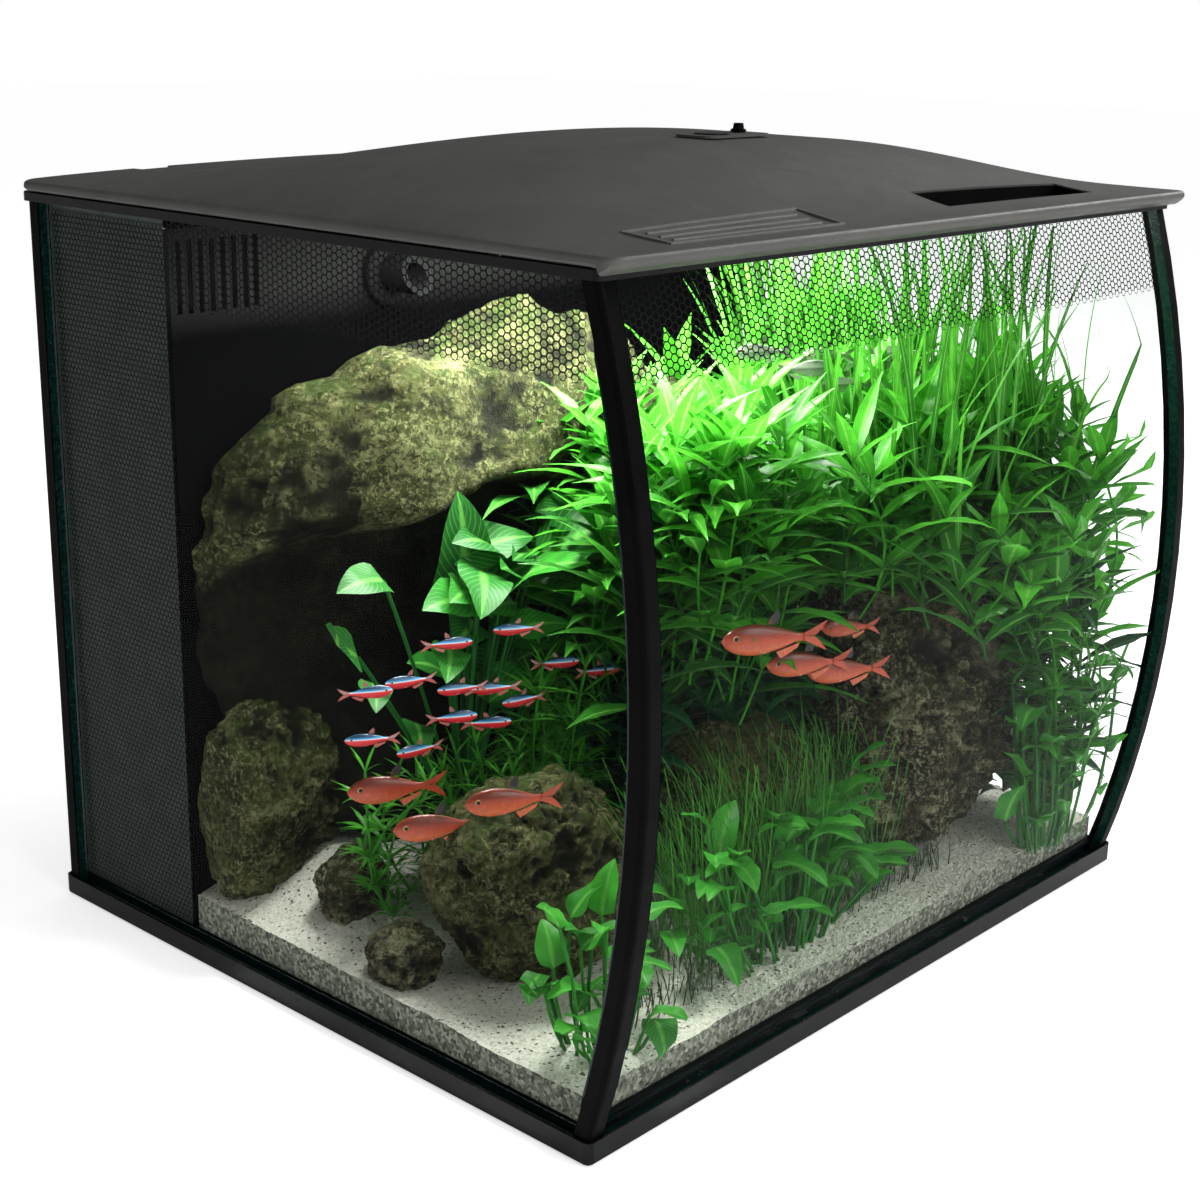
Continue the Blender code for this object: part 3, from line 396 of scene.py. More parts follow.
def leaf(builder, base, heading, up, length, width, droop, shape, tint, fold=0.25, wave=0.0,
         steps=7):
    """A blade that leaves its base along a heading and droops; shape sets where it is widest."""
    heading = heading.normalized()
    side = heading.cross(up)
    if side.length < 1e-4:
        side = heading.cross(Vector((1, 0, 0)))
    side.normalize()
    lift = side.cross(heading).normalized()
    rows = []
    spine = Vector(base)
    direction = heading.copy()
    for step in range(steps + 1):
        t = step / steps
        bulge = math.sin(math.pi * min(t ** shape[0], 1.0)) ** shape[1]
        half = max(0.5 * width * bulge, 0.0002)
        row = []
        for across in (-1.0, -0.5, 0.0, 0.5, 1.0):
            ruffle = wave * half * math.sin(9.0 * t + 5.0 * tint) * across
            rise = fold * half * abs(across) + ruffle
            point = inside(spine + side * half * across + lift * rise)
            row.append(builder.add(point, (t, 0.5 + across / 2, tint)))
        rows.append(row)
        turn = Matrix.Rotation(-droop * (0.4 + 1.2 * t) / steps, 3, side)
        direction = turn @ direction
        lift = turn @ lift
        spine = spine + direction * (length / steps)
    builder.strip(rows)
    return spine


def stalk(builder, points, radius, tint):
    """A thin stem through points."""
    rows = []
    for i, point in enumerate(points):
        ahead = points[min(i + 1, len(points) - 1)] - points[max(i - 1, 0)]
        frame_x = ahead.cross(Vector((0.3, 1.0, 0.1))).normalized()
        frame_y = ahead.cross(frame_x).normalized()
        row = []
        for k in range(6):
            angle = math.pi * k / 3
            offset = frame_x * math.cos(angle) + frame_y * math.sin(angle)
            row.append(builder.add(inside(point + offset * radius), (0.3, 0.2, tint)))
        rows.append(row)
    builder.strip(rows, wrap=True)


def shoot(builder, rng, foot, tip, spacing, length, width, tint, whorl=2, start=0.35, droop=0.9,
          shape=LANCE):
    """A stem with pairs of leaves, each pair turned from the last, and a rosette at the tip."""
    bow = Vector((rng.uniform(-1, 1), rng.uniform(-1, 1), 0)) * 0.012
    count = max(int((tip - foot).length / 0.012), 3)
    points = []
    for i in range(count + 1):
        t = i / count
        points.append(foot.lerp(tip, t) + bow * math.sin(math.pi * t))
    stalk(builder, points, 0.0007, tint)
    total = (tip - foot).length
    turn = rng.uniform(0, math.pi)
    place = start
    while place < 1.0:
        where = points[min(int(place * count), count)]
        size = 1.0 - 0.25 * abs(place - 0.8)
        for k in range(whorl):
            angle = turn + 2 * math.pi * k / whorl + rng.uniform(-0.25, 0.25)
            slope = rng.uniform(0.35, 0.85)
            heading = Vector((math.cos(angle), math.sin(angle), slope))
            leaf(builder, where, heading, Vector((0, 0, 1)),
                 length * size * rng.uniform(0.8, 1.15),
                 width * rng.uniform(0.8, 1.15), droop * rng.uniform(0.5, 1.3), shape,
                 min(max(tint + rng.uniform(-0.25, 0.25), 0), 1), wave=0.15)
        turn += math.pi / 2 + rng.uniform(-0.2, 0.2)
        place += spacing / total
    for k in range(4):
        angle = turn + math.pi * k / 2
        heading = Vector((math.cos(angle), math.sin(angle), rng.uniform(0.9, 1.9)))
        leaf(builder, points[-1], heading, Vector((0, 0, 1)), length * rng.uniform(0.55, 0.9),
             width * 0.8, droop * 0.6, shape, min(tint + 0.2, 1.0), wave=0.1)


THICKET_RIGHT = 0.192
PLANT_RIGHT = 0.194


def thicket_top(x, y, high_z):
    """The rough height of the thicket's top: it sinks to the left and towards the front."""
    return high_z - 0.22 * max(-0.02 - x, 0) - 0.28 * max(-0.09 - y, 0)


def stem_plant_thicket():
    """Leafy shoots: a front piece over the boulders and a rear one before the partition."""
    low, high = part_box("stem_plant_thicket")
    for name, seed, count, node in (("stem_plant_leaves", 16, 95, "stem_plant_thicket"),
                                    ("stem_plant_leaves_rear", 26, 70, None)):
        rng = random.Random(seed)
        builder = Builder()
        for _ in range(count):
            x = rng.uniform(low.x - 0.035, THICKET_RIGHT)
            if node:
                y = rng.uniform(-0.165, -0.040) if x > 0.035 else rng.uniform(-0.085, -0.020)
            else:
                y = rng.uniform(-0.040, 0.050)
            top = thicket_top(x, y, high.z) + rng.uniform(-0.055, 0.008)
            foot_z = top - rng.uniform(0.06, 0.11)
            if 0.025 < x < 0.165 and y < -0.05:
                foot_z = max(foot_z, min(0.165, top - 0.035))
            foot = Vector((x, y, max(foot_z, 0.04)))
            tip = Vector((x + rng.uniform(-0.02, 0.02), y + rng.uniform(-0.02, 0.012), top))
            shoot(builder, rng, foot, tip, 0.013, rng.uniform(0.036, 0.070),
                  rng.uniform(0.0095, 0.0150), rng.uniform(0.05, 0.95), droop=0.75)
        obj = builder.make(name, [LEAF_BRIGHT])
        if node:
            place_piece(obj, "tank", "leaf", node)
        else:
            place_piece(obj, "tank", "leaf")


def right_thicket():
    """Leafy shoots along the right glass, from over the sand up to the grass."""
    rng = random.Random(36)
    builder = Builder()
    for _ in range(85):
        x, y = rng.uniform(0.140, PLANT_RIGHT), rng.uniform(-0.160, 0.010)
        top = rng.uniform(0.13, 0.275) - 0.28 * max(-0.10 - y, 0)
        lowest = min(0.125, top - 0.03) if y < -0.115 else 0.04
        foot = Vector((x, y, max(top - rng.uniform(0.06, 0.11), lowest)))
        tip = Vector((x + rng.uniform(-0.012, 0.012), y + rng.uniform(-0.015, 0.010), top))
        shoot(builder, rng, foot, tip, 0.013, rng.uniform(0.034, 0.056),
              rng.uniform(0.0095, 0.0145), rng.uniform(0.0, 0.9), start=0.1, droop=0.8)
    place_piece(builder.make("stem_plant_leaves_right", [LEAF_BRIGHT]), "tank", "leaf")


def shaded_foliage():
    """Leaves that fill the space behind and under the thicket, in a darker copy of the leaf
    colours: painted shade.
    """
    rng = random.Random(27)
    builder = Builder()
    for i in range(125):
        if i < 70:
            x, y = rng.uniform(-0.030, PLANT_RIGHT), rng.uniform(-0.020, 0.075)
        elif i < 100:
            x, y = rng.uniform(0.165, PLANT_RIGHT), rng.uniform(-0.160, 0.000)
        else:
            x, y = rng.uniform(-0.030, 0.075), rng.uniform(-0.055, -0.010)
        top = rng.uniform(0.09, 0.205) if i < 100 else rng.uniform(0.08, 0.16)
        foot = Vector((x, y, max(top - 0.10, 0.035)))
        tip = Vector((x + rng.uniform(-0.02, 0.02), y + rng.uniform(-0.02, 0.01), top))
        shoot(builder, rng, foot, tip, 0.014, rng.uniform(0.034, 0.052),
              rng.uniform(0.010, 0.016), rng.uniform(0.0, 0.6), start=0.05, droop=0.9)
    obj = builder.make("shaded_foliage", [LEAF_SHADED])
    place_piece(obj, "tank", "leaf")


def ribbon_grass():
    """Long grass over the right half; the blades at the front start higher up."""
    rng = random.Random(17)
    builder = Builder()
    for _ in range(330):
        y = rng.uniform(-0.150, 0.070)
        x = rng.uniform(max(0.060, 0.112 + 1.4 * y), PLANT_RIGHT)
        raised = 0.060 * smoothstep((-0.02 - y) / 0.03)
        base = Vector((x, y, rng.uniform(0.12, 0.19) + raised))
        heading = Vector((rng.uniform(-0.22, 0.10), rng.uniform(-0.22, 0.22), 1.0))
        side = Vector((rng.uniform(-1, 1), rng.uniform(-1, 1), 0.1))
        length = rng.uniform(0.12, 0.21) - raised
        leaf(builder, base, heading, side, length, rng.uniform(0.0026, 0.0046),
             rng.uniform(0.0, 1.0), RIBBON, rng.uniform(0.1, 1.0), 0.1, 0.0, 12)
    obj = builder.make("ribbon_grass_blades", [LEAF_GRASS])
    place_piece(obj, "tank", "leaf", "ribbon_grass")


def broad_cluster(name, node, seed, count, low, high, size, tints=(0.3, 1.0), mat=None):
    """Broad leaves on short stalks that lean out from the middle of a cluster."""
    rng = random.Random(seed)
    builder = Builder()
    middle = (low + high) / 2
    for _ in range(count):
        x = rng.uniform(low.x, high.x)
        y = rng.uniform(low.y, high.y)
        ground = sand_height(x, y)
        top = Vector((x, y, rng.uniform(max(low.z, ground + 0.006), high.z)))
        foot = Vector((mix(x, middle.x, 0.45), mix(y, middle.y, 0.3), ground - 0.001))
        tint = rng.uniform(*tints)
        bend = Vector((rng.uniform(-0.004, 0.004), rng.uniform(-0.004, 0.004), 0))
        points = [foot.lerp(top, t) + bend * math.sin(math.pi * t) for t in (0, 0.33, 0.66, 1.0)]
        stalk(builder, points, 0.0008, tint * 0.7)
        out = Vector((x - middle.x, y - middle.y - 0.012, 0)) * 8
        heading = out + Vector((rng.uniform(-0.7, 0.7), rng.uniform(-0.8, 0.2),
                                rng.uniform(0.0, 0.9)))
        length = size * rng.uniform(0.75, 1.2)
        leaf(builder, top, heading, Vector((0, 0, 1)), length, length * rng.uniform(0.5, 0.62),
             rng.uniform(0.4, 1.3), OVATE, tint, 0.22, 0.22, 10)
    obj = builder.make(name, [mat or LEAF_BROAD])
    return place_piece(obj, "tank", "leaf", node) if node else place_piece(obj, "tank", "leaf")


def tall_anubias():
    """Large leaves on long stalks in the dark under the boulder."""
    rng = random.Random(14)
    builder = Builder()
    root = Vector((-0.110, 0.002, 0.050))
    spots = ((-0.163, -0.004, 0.196, 0.036), (-0.185, -0.012, 0.168, 0.038),
             (-0.126, -0.006, 0.158, 0.034), (-0.104, 0.004, 0.176, 0.044),
             (-0.078, 0.004, 0.178, 0.034), (-0.090, -0.008, 0.158, 0.032),
             (-0.118, 0.004, 0.140, 0.032), (-0.168, -0.002, 0.150, 0.026),
             (-0.060, 0.006, 0.186, 0.036), (-0.134, 0.008, 0.120, 0.030),
             (-0.072, 0.000, 0.128, 0.030), (-0.045, 0.008, 0.160, 0.036))
    spots += tuple((rng.uniform(-0.112, -0.015), rng.uniform(-0.006, 0.020),
                    rng.uniform(0.120, 0.196), rng.uniform(0.038, 0.056)) for _ in range(20))
    for x, y, z, length in spots:
        top = Vector((x, y, z))
        # Leaves further back take darker tints: painted shade.
        tint = rng.uniform(0.1, 0.60) if y < 0.002 else rng.uniform(0.0, 0.30)
        points = []
        for i in range(9):
            t = i / 8
            point = root.lerp(top, t)
            point.z = mix(root.z, z, t ** 0.8)
            points.append(point)
        stalk(builder, points, 0.0009, tint * 0.5)
        heading = Vector((rng.uniform(-1.0, 1.0), rng.uniform(-0.6, -0.1), rng.uniform(0.0, 0.5)))
        tilt = Vector((rng.uniform(-0.3, 0.3), -0.7, 1.0))
        leaf(builder, top, heading, tilt, length, length * rng.uniform(0.52, 0.62), 0.7, OVATE,
             tint, 0.15, 0.12, 11)
    obj = builder.make("tall_broad_leaves", [LEAF_BROAD])
    place_piece(obj, "tank", "leaf", "tall_anubias")


def fine_stems(name, node, seed, count, low, high, length, tints, mat=None, width=0.0021,
               spacing=0.0065):
    """Bushy shoots with short narrow leaves."""
    rng = random.Random(seed)
    builder = Builder()
    for _ in range(count):
        x = rng.uniform(low.x, high.x)
        y = rng.uniform(low.y, high.y)
        foot = Vector((x, y, sand_height(x, y)))
        foot.z = max(foot.z, low.z)
        tip = Vector((x + rng.uniform(-0.014, 0.014), y + rng.uniform(-0.012, 0.004),
                      rng.uniform(mix(low.z, high.z, 0.55), high.z)))
        shoot(builder, rng, foot, tip, spacing, length * rng.uniform(0.8, 1.2), width,
              rng.uniform(*tints), 4, 0.15, 0.7)
    obj = builder.make(name, [mat or LEAF_BRIGHT])
    return place_piece(obj, "tank", "leaf", node) if node else place_piece(obj, "tank", "leaf")


def hair_grass(name, seed, count, low, high, height, tints, mat, width=0.0007):
    """Fine short blades that stand in the sand."""
    rng = random.Random(seed)
    builder = Builder()
    for _ in range(count):
        x = rng.uniform(low.x, high.x)
        y = rng.uniform(low.y, high.y)
        base = Vector((x, y, sand_height(x, y) - 0.001))
        heading = Vector((rng.uniform(-0.35, 0.35), rng.uniform(-0.35, 0.2), 1.0))
        leaf(builder, base, heading, Vector((rng.uniform(-1, 1), -1, 0)),
             height * rng.uniform(0.55, 1.15), width, rng.uniform(0.1, 1.1), RIBBON,
             rng.uniform(*tints), 0.0, 0.0, 7)
    return place_piece(builder.make(name, [mat]), "tank", "leaf")


def plants():
    stem_plant_thicket()
    right_thicket()
    shaded_foliage()
    ribbon_grass()
    tall_anubias()
    broad_cluster("front_broad_leaves", "front_anubias", 11, 62, Vector((-0.108, -0.148, 0.036)),
                  Vector((0.036, -0.118, 0.090)), 0.024)
    broad_cluster("corner_broad_leaves", "corner_anubias", 12, 26, Vector((-0.190, -0.158, 0.034)),
                  Vector((-0.142, -0.120, 0.086)), 0.024)
    broad_cluster("right_broad_leaves", "right_anubias", 13, 44, Vector((0.118, -0.172, 0.040)),
                  Vector((0.192, -0.146, 0.118)), 0.025)
    fine_stems("left_fine_stems", "left_stem_plant", 15, 26, Vector((-0.172, -0.016, 0.040)),
               Vector((-0.068, 0.012, 0.112)), 0.017, (0.3, 0.9))
    fine_stems("middle_fine_stems", None, 18, 20, Vector((-0.085, -0.030, 0.060)),
               Vector((-0.010, 0.006, 0.150)), 0.022, (0.2, 0.7))
    fine_stems("right_fine_stems", None, 19, 9, Vector((0.135, -0.172, 0.060)),
               Vector((0.190, -0.150, 0.150)), 0.024, (0.2, 0.7))
    hair_grass("hair_grass", 20, 700, Vector((-0.095, -0.135, 0)), Vector((0.045, -0.095, 0)),
               0.085, (0.0, 0.8), LEAF_GRASS)
    # Short very dark blades along the edge of the planting: a painted shadow line where the plants
    # meet the sand.
    hair_grass("hair_grass_edge", 21, 420, Vector((-0.150, -0.140, 0)),
               Vector((0.100, -0.122, 0)), 0.016, (0.0, 0.5), LEAF_SHADOW)


# Stones and sand

def stone_point(unit, centre, reach, depth, seed, rough, layers):
    """A point of a rough stone: reach gives its outline's radius at an angle, from the front."""
    shift = Vector((seed * 3.1, seed * 1.7, seed * 2.3))
    angle = math.atan2(unit.z, unit.x)
    radius = reach(angle)
    spread = math.sqrt(max(1 - unit.y ** 2, 0.0))
    local = Vector((radius * math.cos(angle) * spread, depth * unit.y,
                    radius * math.sin(angle) * spread))
    broad = noise.noise(local * 13 + shift)
    place = local * 26 + shift
    lumps = noise.fractal(place, 0.9, 2.1, 5, noise_basis="PERLIN_ORIGINAL")
    slant = 62 * (local.z - 0.35 * local.x) + 2.2 * lumps + 1.5 * broad
    ledge = abs((slant % 1.0) - 0.5) * 2.0
    ridges = noise.ridged_multi_fractal(place * 1.7, 0.8, 2.2, 5, 0.9, 2.0,
                                        noise_basis="PERLIN_ORIGINAL")
    crust = noise.fractal(local * 190 + shift, 0.6, 2.2, 4, noise_basis="PERLIN_ORIGINAL")
    push = rough * (0.9 * lumps + 1.3 * broad + layers * (0.45 * ledge + 0.35 * (ridges - 1.0)))
    push += 0.0010 * crust
    outward = Vector((local.x, local.y * 1.5, local.z)).normalized()
    # How open the surface is: low in creases, where the stone material paints shade.
    crevice_light = 0.42 + 0.35 * lumps + 0.22 * (ridges - 1.0) + 0.25 * crust + 0.20 * ledge
    return centre + local + outward * push, min(max(crevice_light, 0.0), 1.0)


def stone(name, node, seed, reach, mat, subdivisions=5, rough=0.004, layers=0.7, brow=None,
          push_by=Vector((0, 0, 0))):
    """A stone in its node's box, or anywhere when node is a (low, high) pair."""
    low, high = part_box(node) if isinstance(node, str) else node
    centre, half = (low + high) / 2, (high - low) / 2
    bm = bmesh.new()
    bmesh.ops.create_icosphere(bm, subdivisions=subdivisions, radius=1.0)
    builder = Builder()
    for vert in bm.verts:
        point, crevice_light = stone_point(vert.co.normalized(), centre,
                                    lambda angle: reach(angle, half), half.y, seed, rough, layers)
        brow_shade = 0.0
        if brow:
            point, brow_shade = brow(point, centre, half)
        point += push_by
        point.z = max(point.z, sand_height(point.x, point.y) - 0.002)
        point.y = min(point.y, WALL_LOW.y - CLEAR_OF_WALL)
        point.x = min(max(point.x, -INSIDE_X), INSIDE_X)
        # The tone carries how open the surface is and how far under the brow it lies, which the
        # material turns into painted shade.
        builder.add(point, (crevice_light, brow_shade, 0.5))
    builder.faces = [tuple(v.index for v in face.verts) for face in bm.faces]
    bm.free()
    obj = builder.make(name, [mat])
    if isinstance(node, str):
        return place_piece(obj, "tank", "stone", node)
    return place_piece(obj, "tank", "stone")


def oval(angle, half):
    """The radius of an ellipse with blunt corners."""
    power = 2.6
    c, s = abs(math.cos(angle)) / half.x, abs(math.sin(angle)) / half.z
    return (c ** power + s ** power) ** (-1 / power)


BOULDER_OUTLINE = ((0, 0.150), (10, 0.142), (17, 0.150), (30, 0.129), (46, 0.113), (66, 0.117),
                   (82, 0.120), (100, 0.126), (117, 0.131), (136, 0.150), (148, 0.168),
                   (158, 0.176), (180, 0.174), (205, 0.170), (230, 0.155), (270, 0.135),
                   (310, 0.150), (340, 0.155), (360, 0.150))


def boulder_outline(angle, half):
    """The back boulder: two crests left of the middle, a steep left side, a long right slope."""
    degrees = math.degrees(angle) % 360
    for (a, first), (b, second) in zip(BOULDER_OUTLINE, BOULDER_OUTLINE[1:]):
        if a <= degrees <= b:
            return mix(first, second, smoothstep((degrees - a) / (b - a)))
    return BOULDER_OUTLINE[0][1]


def boulder_brow(point, centre, half):
    """Push the face under the brow back over a hollow that the material paints with shade, and lean
    the left end back too.
    """
    brow_z = 0.224 - 0.30 * max(-0.10 - point.x, 0) - 0.25 * max(point.x - 0.0, 0)
    brow_z += 0.004 * math.sin(70 * point.x)
    below = smoothstep((brow_z - point.z) / 0.014)
    span = smoothstep((0.10 - point.x) / 0.05)
    if point.y < centre.y:
        point.y = mix(point.y, centre.y + (point.y - centre.y) * 0.15, below * span)
    point.y += 0.55 * max(-0.120 - point.x, 0)
    return point, below * span


def stones():
    mossy = rock_material("mossy_boulder", (0.008, 0.008, 0.002), (0.060, 0.062, 0.016),
                          (0.235, 0.235, 0.105), (0.026, 0.058, 0.006), 0.75)
    brown = rock_material("brown_boulder", (0.007, 0.005, 0.002), (0.042, 0.036, 0.012),
                          (0.36, 0.34, 0.20), (0.03, 0.055, 0.008), 0.4)
    stone("back_boulder_rock", "back_boulder", 1, boulder_outline, mossy, 6, 0.0065, 0.9,
          boulder_brow)
    stone("left_boulder_rock", "left_boulder", 2,
          lambda angle, half: 1.12 * oval(angle, half), mossy, 6, 0.0055, 1.0, None,
          Vector((-0.004, 0.013, 0.004)))
    stone("centre_stone_rock", "centre_stone", 3, oval, mossy, 6, 0.0075, 1.1)
    stone("middle_stone_rock", "middle_stone", 4, oval, mossy, 5, 0.0060, 0.9)
    stone("right_boulder_rock", "right_boulder", 5, oval, brown, 6, 0.0100, 1.2)
    pebbles = (((-0.197, -0.056, 0.022), (-0.168, -0.022, 0.048), 6),
               ((-0.182, 0.002, 0.028), (-0.150, 0.030, 0.064), 7),
               ((0.168, -0.150, 0.030), (0.192, -0.128, 0.085), 8))
    for low, high, seed in pebbles:
        stone("pebble_%d" % seed, (Vector(low), Vector(high)), seed, oval, brown, 5, 0.0040, 1.0)


def sand():
    """A fine height field with its cut faces against the glass."""
    columns, rows = 240, 150
    builder = Builder()
    low, high = SAND_LOW, SAND_HIGH
    grid = []
    for j in range(rows + 1):
        row = []
        for i in range(columns + 1):
            x = mix(low.x, high.x, i / columns)
            y = mix(low.y, high.y, j / rows)
            grit = noise.fractal(Vector((x, y, 0)) * 300, 0.6, 2.1, 3)
            dune = noise.noise(Vector((x, y, 0.3)) * 38)
            z = sand_height(x, y) + 0.0005 * grit + 0.0012 * dune
            row.append(builder.add((x, y, z)))
        grid.append(row)
    builder.strip(grid)
    ring = grid[0] + [row[-1] for row in grid[1:]] + grid[-1][-2::-1]
    ring += [row[0] for row in grid[-2:0:-1]]
    foot = []
    for index in ring:
        x, y, _ = builder.points[index]
        foot.append(builder.add((x, y, low.z - 0.0003)))
    builder.strip([foot, ring], wrap=True)
    builder.faces.append(tuple(reversed(foot)))
    obj = builder.make("sand_grains", [sand_material()], smooth=False)
    place_piece(obj, "tank", "sand", "sand_bed")


# Fish

TAIL_UPPER = ((-0.26, 0.10), (-0.34, 0.22), (-0.50, 0.50), (-0.44, 0.20), (-0.385, 0.02),
              (-0.27, 0.0))
TAIL_LOWER = ((-0.27, 0.0), (-0.385, -0.02), (-0.44, -0.20), (-0.50, -0.50), (-0.34, -0.22),
              (-0.26, -0.10))
BACK_FIN = ((0.07, 0.47), (0.045, 0.70), (-0.02, 0.92), (-0.04, 0.78), (-0.03, 0.47))
BELLY_FIN = ((-0.02, -0.44), (-0.06, -0.66), (-0.12, -0.55), (-0.22, -0.34), (-0.24, -0.18))
SIDE_FIN = ((0.20, -0.20), (0.13, -0.42), (0.08, -0.40), (0.14, -0.18))


def fish_body(builder, length, height):
    """An oval body that narrows to the tail."""
    steps, sides = 20, 14
    rows = []
    for i in range(steps + 1):
        t = i / steps
        bulge = math.sin(math.pi * min(t ** 0.70, 1.0)) ** 0.85
        tall = 0.5 * height * max(bulge, 0.27 * smoothstep(8 * t), 0.04)
        row = []
        for k in range(sides):
            angle = 2 * math.pi * k / sides
            z = tall * math.sin(angle)
            y = 0.40 * tall * math.cos(angle)
            row.append(builder.add((length * (0.5 - 0.78 * t), y, z),
                                   (t * 0.78, 0.5 + z / height, 0.0)))
        rows.append(row)
    builder.strip(rows, wrap=True)
    builder.faces.append(tuple(rows[0]))
    builder.faces.append(tuple(reversed(rows[-1])))


def fish_fin(builder, length, height, points, along, low, high, lean=0.0):
    """A flat fin; low and high are the tones at its first and last point."""
    found = [builder.add((length * x, height * lean * abs(z), height * z),
                         (along, mix(low, high, i / (len(points) - 1)), 1.0))
             for i, (x, z) in enumerate(points)]
    builder.faces.append(tuple(found))


def fish_eye(builder, length, height, side):
    """A low dome on one side of the head."""
    eye = []
    for i in range(5):
        polar = math.pi * i / 8
        reach, out = 0.105 * math.sin(polar), 0.045 * math.cos(polar)
        eye.append([builder.add((length * 0.375 + height * reach * math.cos(a),
                                 side * height * (0.135 + out),
                                 height * (0.10 + reach * math.sin(a))),
                                (0.5, i / 4, 0.5))
                    for a in [math.pi * k / 5 for k in range(10)]])
    builder.strip(eye, wrap=True)


def fish(name, where, heading, length, height, mat):
    """A small fish with fins and eyes; heading is its turn about Z."""
    builder = Builder()
    fish_body(builder, length, height)
    fish_fin(builder, length, height, TAIL_UPPER, 0.95, 0.5, 0.6)
    fish_fin(builder, length, height, TAIL_LOWER, 0.95, 0.5, 0.4)
    fish_fin(builder, length, height, BACK_FIN, 0.5, 0.9, 1.0)
    fish_fin(builder, length, height, BELLY_FIN, 0.6, 0.0, 0.2)
    for side in (-1, 1):
        fish_fin(builder, length, height, SIDE_FIN, 0.4, 0.2, 0.3, side * 0.35)
    for side in (-1, 1):
        fish_eye(builder, length, height, side)
    obj = builder.make(name, [mat])
    obj.location = where
    obj.rotation_euler = (0, 0, math.radians(heading))
    return place_piece(obj, "tank", "leaf")


def with_eyes(s, skin):
    """Gold eyes with black pupils, where the fin tone is a half."""
    _, height, fin = s.tones()
    pupil = s.ramp(height, [(0.45, (0.004, 0.004, 0.004)), (0.62, (0.50, 0.33, 0.12))])
    is_eye = s.ramp(fin, [(0.40, 0.0), (0.47, 1.0), (0.53, 1.0), (0.60, 0.0)])
    return s.blend(is_eye, skin, pupil)


def neon_material():
    """A blue and white stripe over a red belly."""
    s = Shade("neon_fish")
    _, height, fin = s.tones()
    stripe = s.ramp(height, [(0.30, (0.55, 0.02, 0.03)), (0.50, (0.75, 0.03, 0.03)),
                             (0.58, (0.75, 0.85, 0.95)), (0.66, (0.05, 0.35, 0.75)),
                             (0.80, (0.02, 0.06, 0.12))])
    clear = s.blend(s.math("MULTIPLY", fin, 0.8), stripe, (0.42, 0.12, 0.10))
    s.link(with_eyes(s, clear), s.main.inputs["Base Color"])
    s.set(roughness=0.25)
    s.bump(s.voronoi(1800.0), 0.15, 0.0003)
    return s.mat


def ember_material():
    """Orange red with darker scales; the back fin ends black with a white edge."""
    s = Shade("ember_fish")
    _, height, fin = s.tones()
    skin = s.ramp(height, [(0.20, (0.62, 0.13, 0.05)), (0.50, (0.50, 0.055, 0.020)),
                           (0.78, (0.15, 0.028, 0.014))])
    skin = s.blend(s.ramp(s.voronoi(900.0), [(0.25, 0.0), (0.55, 0.4)]), skin, (0.16, 0.02, 0.008))
    back_fin = s.ramp(height, [(0.91, 0.0), (0.94, 1.0)])
    skin = s.blend(s.math("MULTIPLY", back_fin, fin), skin, (0.01, 0.01, 0.01))
    s.link(with_eyes(s, skin), s.main.inputs["Base Color"])
    s.set(roughness=0.3)
    s.bump(s.voronoi(1100.0), 0.25, 0.0003)
    return s.mat


def grey_material():
    """A pale, half-clear fish with a dark line along its middle."""
    s = Shade("glass_fish")
    _, height, _ = s.tones()
    skin = s.ramp(height, [(0.2, (0.42, 0.46, 0.36)), (0.52, (0.16, 0.20, 0.14)),
                           (0.62, (0.40, 0.43, 0.36)), (0.9, (0.12, 0.16, 0.10))])
    s.link(with_eyes(s, skin), s.main.inputs["Base Color"])
    s.set(roughness=0.25)
    s.bump(s.voronoi(1500.0), 0.2, 0.0003)
    return s.mat


def fishes():
    neon, ember, grey = neon_material(), ember_material(), grey_material()
    neons = ((-0.190, -0.022, 0.156, 2), (-0.162, -0.020, 0.154, 188), (-0.141, -0.020, 0.166, 4),
             (-0.096, -0.020, 0.163, 178), (-0.133, -0.022, 0.144, 184),
             (-0.110, -0.020, 0.138, 180), (-0.072, -0.020, 0.141, 0), (-0.046, -0.024, 0.132, 6),
             (-0.142, -0.024, 0.133, 2), (-0.119, -0.022, 0.124, -4), (-0.092, -0.020, 0.128, 196),
             (-0.188, -0.024, 0.135, 176), (-0.157, -0.020, 0.121, 198))
    for i, (x, y, z, turn) in enumerate(neons):
        fish("neon_fish_%02d" % (i + 1), (x, y, z), turn - 30, 0.024, 0.0058, neon)
    embers = ((-0.176, -0.026, 0.110, 0.044), (-0.169, -0.090, 0.121, 0.042),
              (-0.178, -0.056, 0.102, 0.042), (-0.036, -0.120, 0.168, 0.050),
              (-0.006, -0.118, 0.149, 0.042), (0.014, -0.126, 0.143, 0.042),
              (0.034, -0.112, 0.156, 0.030))
    for i, (x, y, z, length) in enumerate(embers):
        fish("ember_fish_%02d" % (i + 1), (x, y, z), 150 if x < -0.1 else 148, length,
             length * 0.29, ember)
    greys = ((0.026, -0.060, 0.281, 150), (0.054, -0.062, 0.270, -28), (0.080, -0.058, 0.273, 152),
             (0.113, -0.060, 0.266, -30), (0.139, -0.060, 0.268, 150), (0.086, -0.066, 0.259, 152),
             (0.150, -0.066, 0.255, 140))
    for i, (x, y, z, turn) in enumerate(greys):
        fish("grey_fish_%02d" % (i + 1), (x, y, z), turn, 0.030, 0.0085, grey)


# Printed honeycomb on the glass

